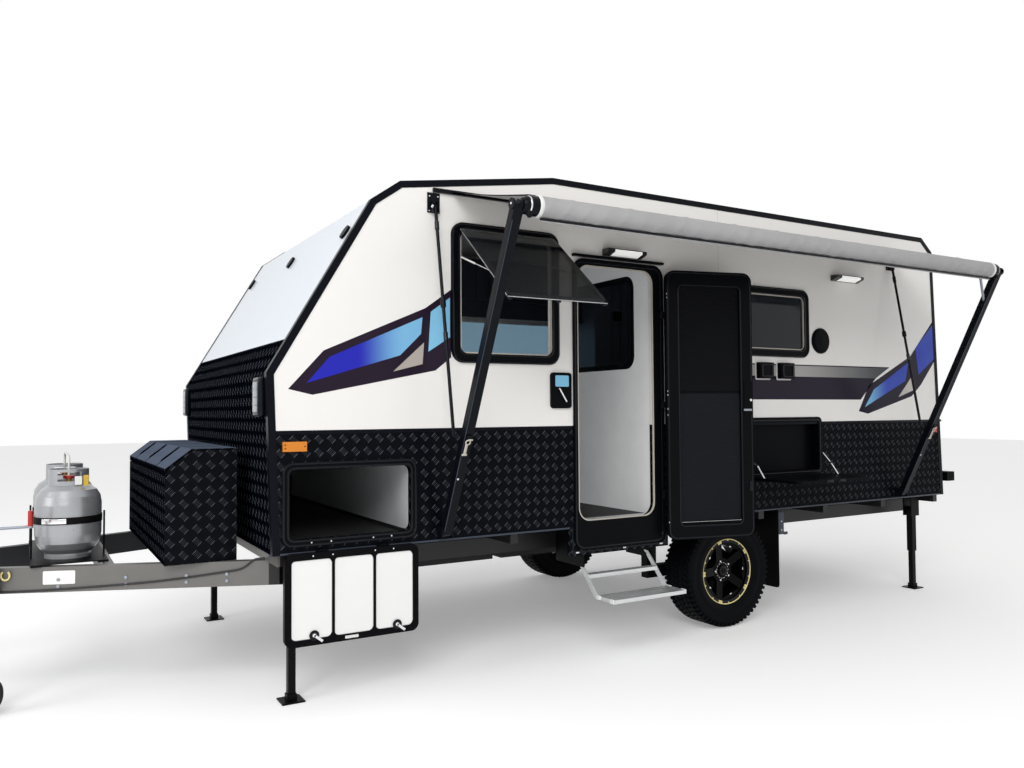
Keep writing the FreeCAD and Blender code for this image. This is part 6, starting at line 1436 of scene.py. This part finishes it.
caps = joined(*[soft_block((x0, y0, z0), (x0 + 0.012, y0 + 0.040, z0 + 0.026), 0.004)
                for x0 in (3.9300, 4.4680) for y0, z0 in ((-1.400, -0.233), (-1.270, -0.233))])
piece("step_caps", caps, "screw_white", "fold_step")
clips = joined(*[soft_block((x, WALL_FACE - 0.005, z), (x + 0.022, WALL_FACE + SUNK, z + 0.009), 0.002)
                 for x, z in ((3.850, 0.028), (4.200, 0.028), (4.490, 0.028))])
piece("kick_clips", clips, "screw_white")
STRIP = [(-0.004, 0), (-0.004, -0.002), (0.004, -0.002), (0.004, 0)]
kick = edging((3.829, 0.035, 4.540, 0.195), 0.0, 0.012, WALL_FACE, STRIP)
piece("kick_frame", kick, "gloss_black")

# %% [markdown]
# The last fittings lie on the outside: corner lamps, strips along the plate, the flaps'
# brackets, the inlets' flanges, a speaker, a lock and a blank plate on the leaning back.

# %% Flap brackets, lamps, wall fittings and plates
housing = soft_block((2.0125, -1.100, 0.850), (2.0520, -0.982, 1.045), 0.012, along=0)
piece("corner_lamp_housings", both_sides(housing), "gloss_black")
lens_shape = soft_block((2.0100, -1.087, 0.872), (2.0140, -0.995, 1.023), 0.003, along=0)
ribs = joined(*[soft_block((2.0080, -1.080, z), (2.0110, -1.002, z + 0.006), 0.0014, along=0)
                for z in (0.905, 0.944, 0.983)])
piece("corner_lamp_lenses", both_sides(joined(lens_shape, ribs)), "lamp_slate")
marks = [(x, -1.1615, z) for x, z in ((2.129, 0.694), (2.129, 0.712), (2.226, 0.703))]
piece("marker_screws", both_sides(heads(marks, 0.0036, 0.0012)), "gloss_black")
PLATE_START, PLATE_END = 2.054, BODY_BACK - 0.001


def plate_strip(spans, low, high, proud, radius):
    """A strip along the near plate, in stretches, and one whole strip on the far side."""
    near = [soft_block((a, WALL_FACE - proud, low), (b, WALL_FACE + SUNK, high), radius) for a, b in spans]
    whole = soft_block((PLATE_START, WALL_FACE - proud, low), (PLATE_END, WALL_FACE + SUNK, high), radius)
    return joined(*near, mirrored_side(whole))


beside_door = [(PLATE_START, 3.838), (4.531, PLATE_END)]
beside_kick = [(PLATE_START, 3.808), (4.561, PLATE_END)]
piece("plate_top_trims", plate_strip(beside_door, PLATE_TOP - 0.016, PLATE_TOP + 0.0015, 0.0018, 0.0008),
      "trim_black")
piece("plate_low_trims", plate_strip(beside_kick, SKIRT_LOW, SKIRT_LOW + 0.010, 0.0025, 0.0012),
      "slate")
brackets = joined(soft_block((5.5965, -1.112, -0.006), (5.652, -1.104, 0.150), 0.002),
                  soft_block((5.652, -1.112, -0.010), (5.690, -1.104, 0.010), 0.002))
piece("flap_brackets", both_sides(brackets), "slate")
marks = heads([(5.628, -1.112, 0.085), (5.628, -1.112, 0.025)], 0.0050, 0.0020)
piece("flap_screws", both_sides(marks), "screw_white")
INLETS = [(5.366, 5.497), (5.572, 5.703)]
flanges = joined(*[card((a - 0.010, 1.075), (b + 0.006, 1.203), 0.012, -1.1485, 0.0025)
                   for a, b in INLETS])
piece("inlet_flanges", flanges, "screw_white")
LID_FACE = side_of("wall_fittings", 1, 0)
lids = joined(*[bead(rect_at((a + 0.016, 1.100), (b - 0.016, 1.180), 0.010), "xz", LID_FACE, HALF_ROUND)
                for a, b in INLETS])
piece("inlet_lids", lids, "gloss_black")
wave = np.linspace(0, 1, 40)
grille = np.stack([0.078 * (1 - wave) + 0.002, 0.0015 + 0.0007 * np.sin(wave * 14 * math.pi)**2
                   + 0.004 * wave], 1)
piece("speaker_grille", loft(turned(grille, (6.023, -1.1605, 1.366), (0, -1, 0), 48)),
      "frame_plastic")
inset = card((3.706, 1.012), (3.800, 1.078), 0.008, -1.1612, 0.0015)
piece("lock_inset", inset, "film_light")
grip = joined(rod((3.728, -1.172, 1.000), (3.776, -1.172, 0.925), 0.0055),
              rod((3.728, -1.158, 1.000), (3.728, -1.172, 1.000), 0.004),
              rod((3.776, -1.158, 0.925), (3.776, -1.172, 0.925), 0.004))
piece("lock_grip", grip, "bright_steel")
REAR_FOOT, REAR_TOP, PLATE_HEIGHT = (BODY_BACK, SKIRT_LOW), (7.380, 2.135), 0.56
plate_lean = (REAR_FOOT[0] - REAR_TOP[0]) / (REAR_TOP[1] - REAR_FOOT[1])
plate = slab(round_rectangle(0.520, 0.112, 0.006), "yz", 0.0, 0.003)
plate = moved(plate, [[1, 0, -plate_lean], [0, 1, 0], [plate_lean, 0, 1]],
              (REAR_FOOT[0] - plate_lean * (PLATE_HEIGHT - REAR_FOOT[1]), 0.0, PLATE_HEIGHT))
piece("number_plate", plate, "screw_white")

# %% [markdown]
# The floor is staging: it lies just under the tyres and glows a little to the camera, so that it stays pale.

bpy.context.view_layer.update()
FLOOR_HALF, FLOOR_DROP, FLOOR_GLOW = 40.0, 0.001, 0.24
studio = bpy.data.meshes.new("studio_floor")
signs = ((-1, -1), (1, -1), (1, 1), (-1, 1))
corners = [(x * FLOOR_HALF, y * FLOOR_HALF, GROUND - FLOOR_DROP) for x, y in signs]
studio.from_pydata(corners, [], [(0, 1, 2, 3)])
pale = grained("studio_floor", (0.93, 0.93, 0.93), 0.9, 0.0, 0.1, 0.0, 0.5, 0.01)
lift_rays = pale.node_tree.nodes.new("ShaderNodeLightPath").outputs
do = maths(pale.node_tree)
direct = do("ADD", lift_rays["Is Camera Ray"],
            do("ADD", lift_rays["Is Glossy Ray"], lift_rays["Is Transmission Ray"]))
pale_shader = pale.node_tree.nodes["Principled BSDF"]
pale_shader.inputs["Emission Color"].default_value = (1.0, 1.0, 1.0, 1.0)
glow = do("MULTIPLY", direct, FLOOR_GLOW)
link(pale.node_tree, glow, pale_shader.inputs["Emission Strength"])
studio.materials.append(pale)
ground = bpy.data.objects.new("studio_floor", studio)
bpy.context.scene.collection.objects.link(ground)
print("sizes written; the floor lies at", round(GROUND - FLOOR_DROP, 3))
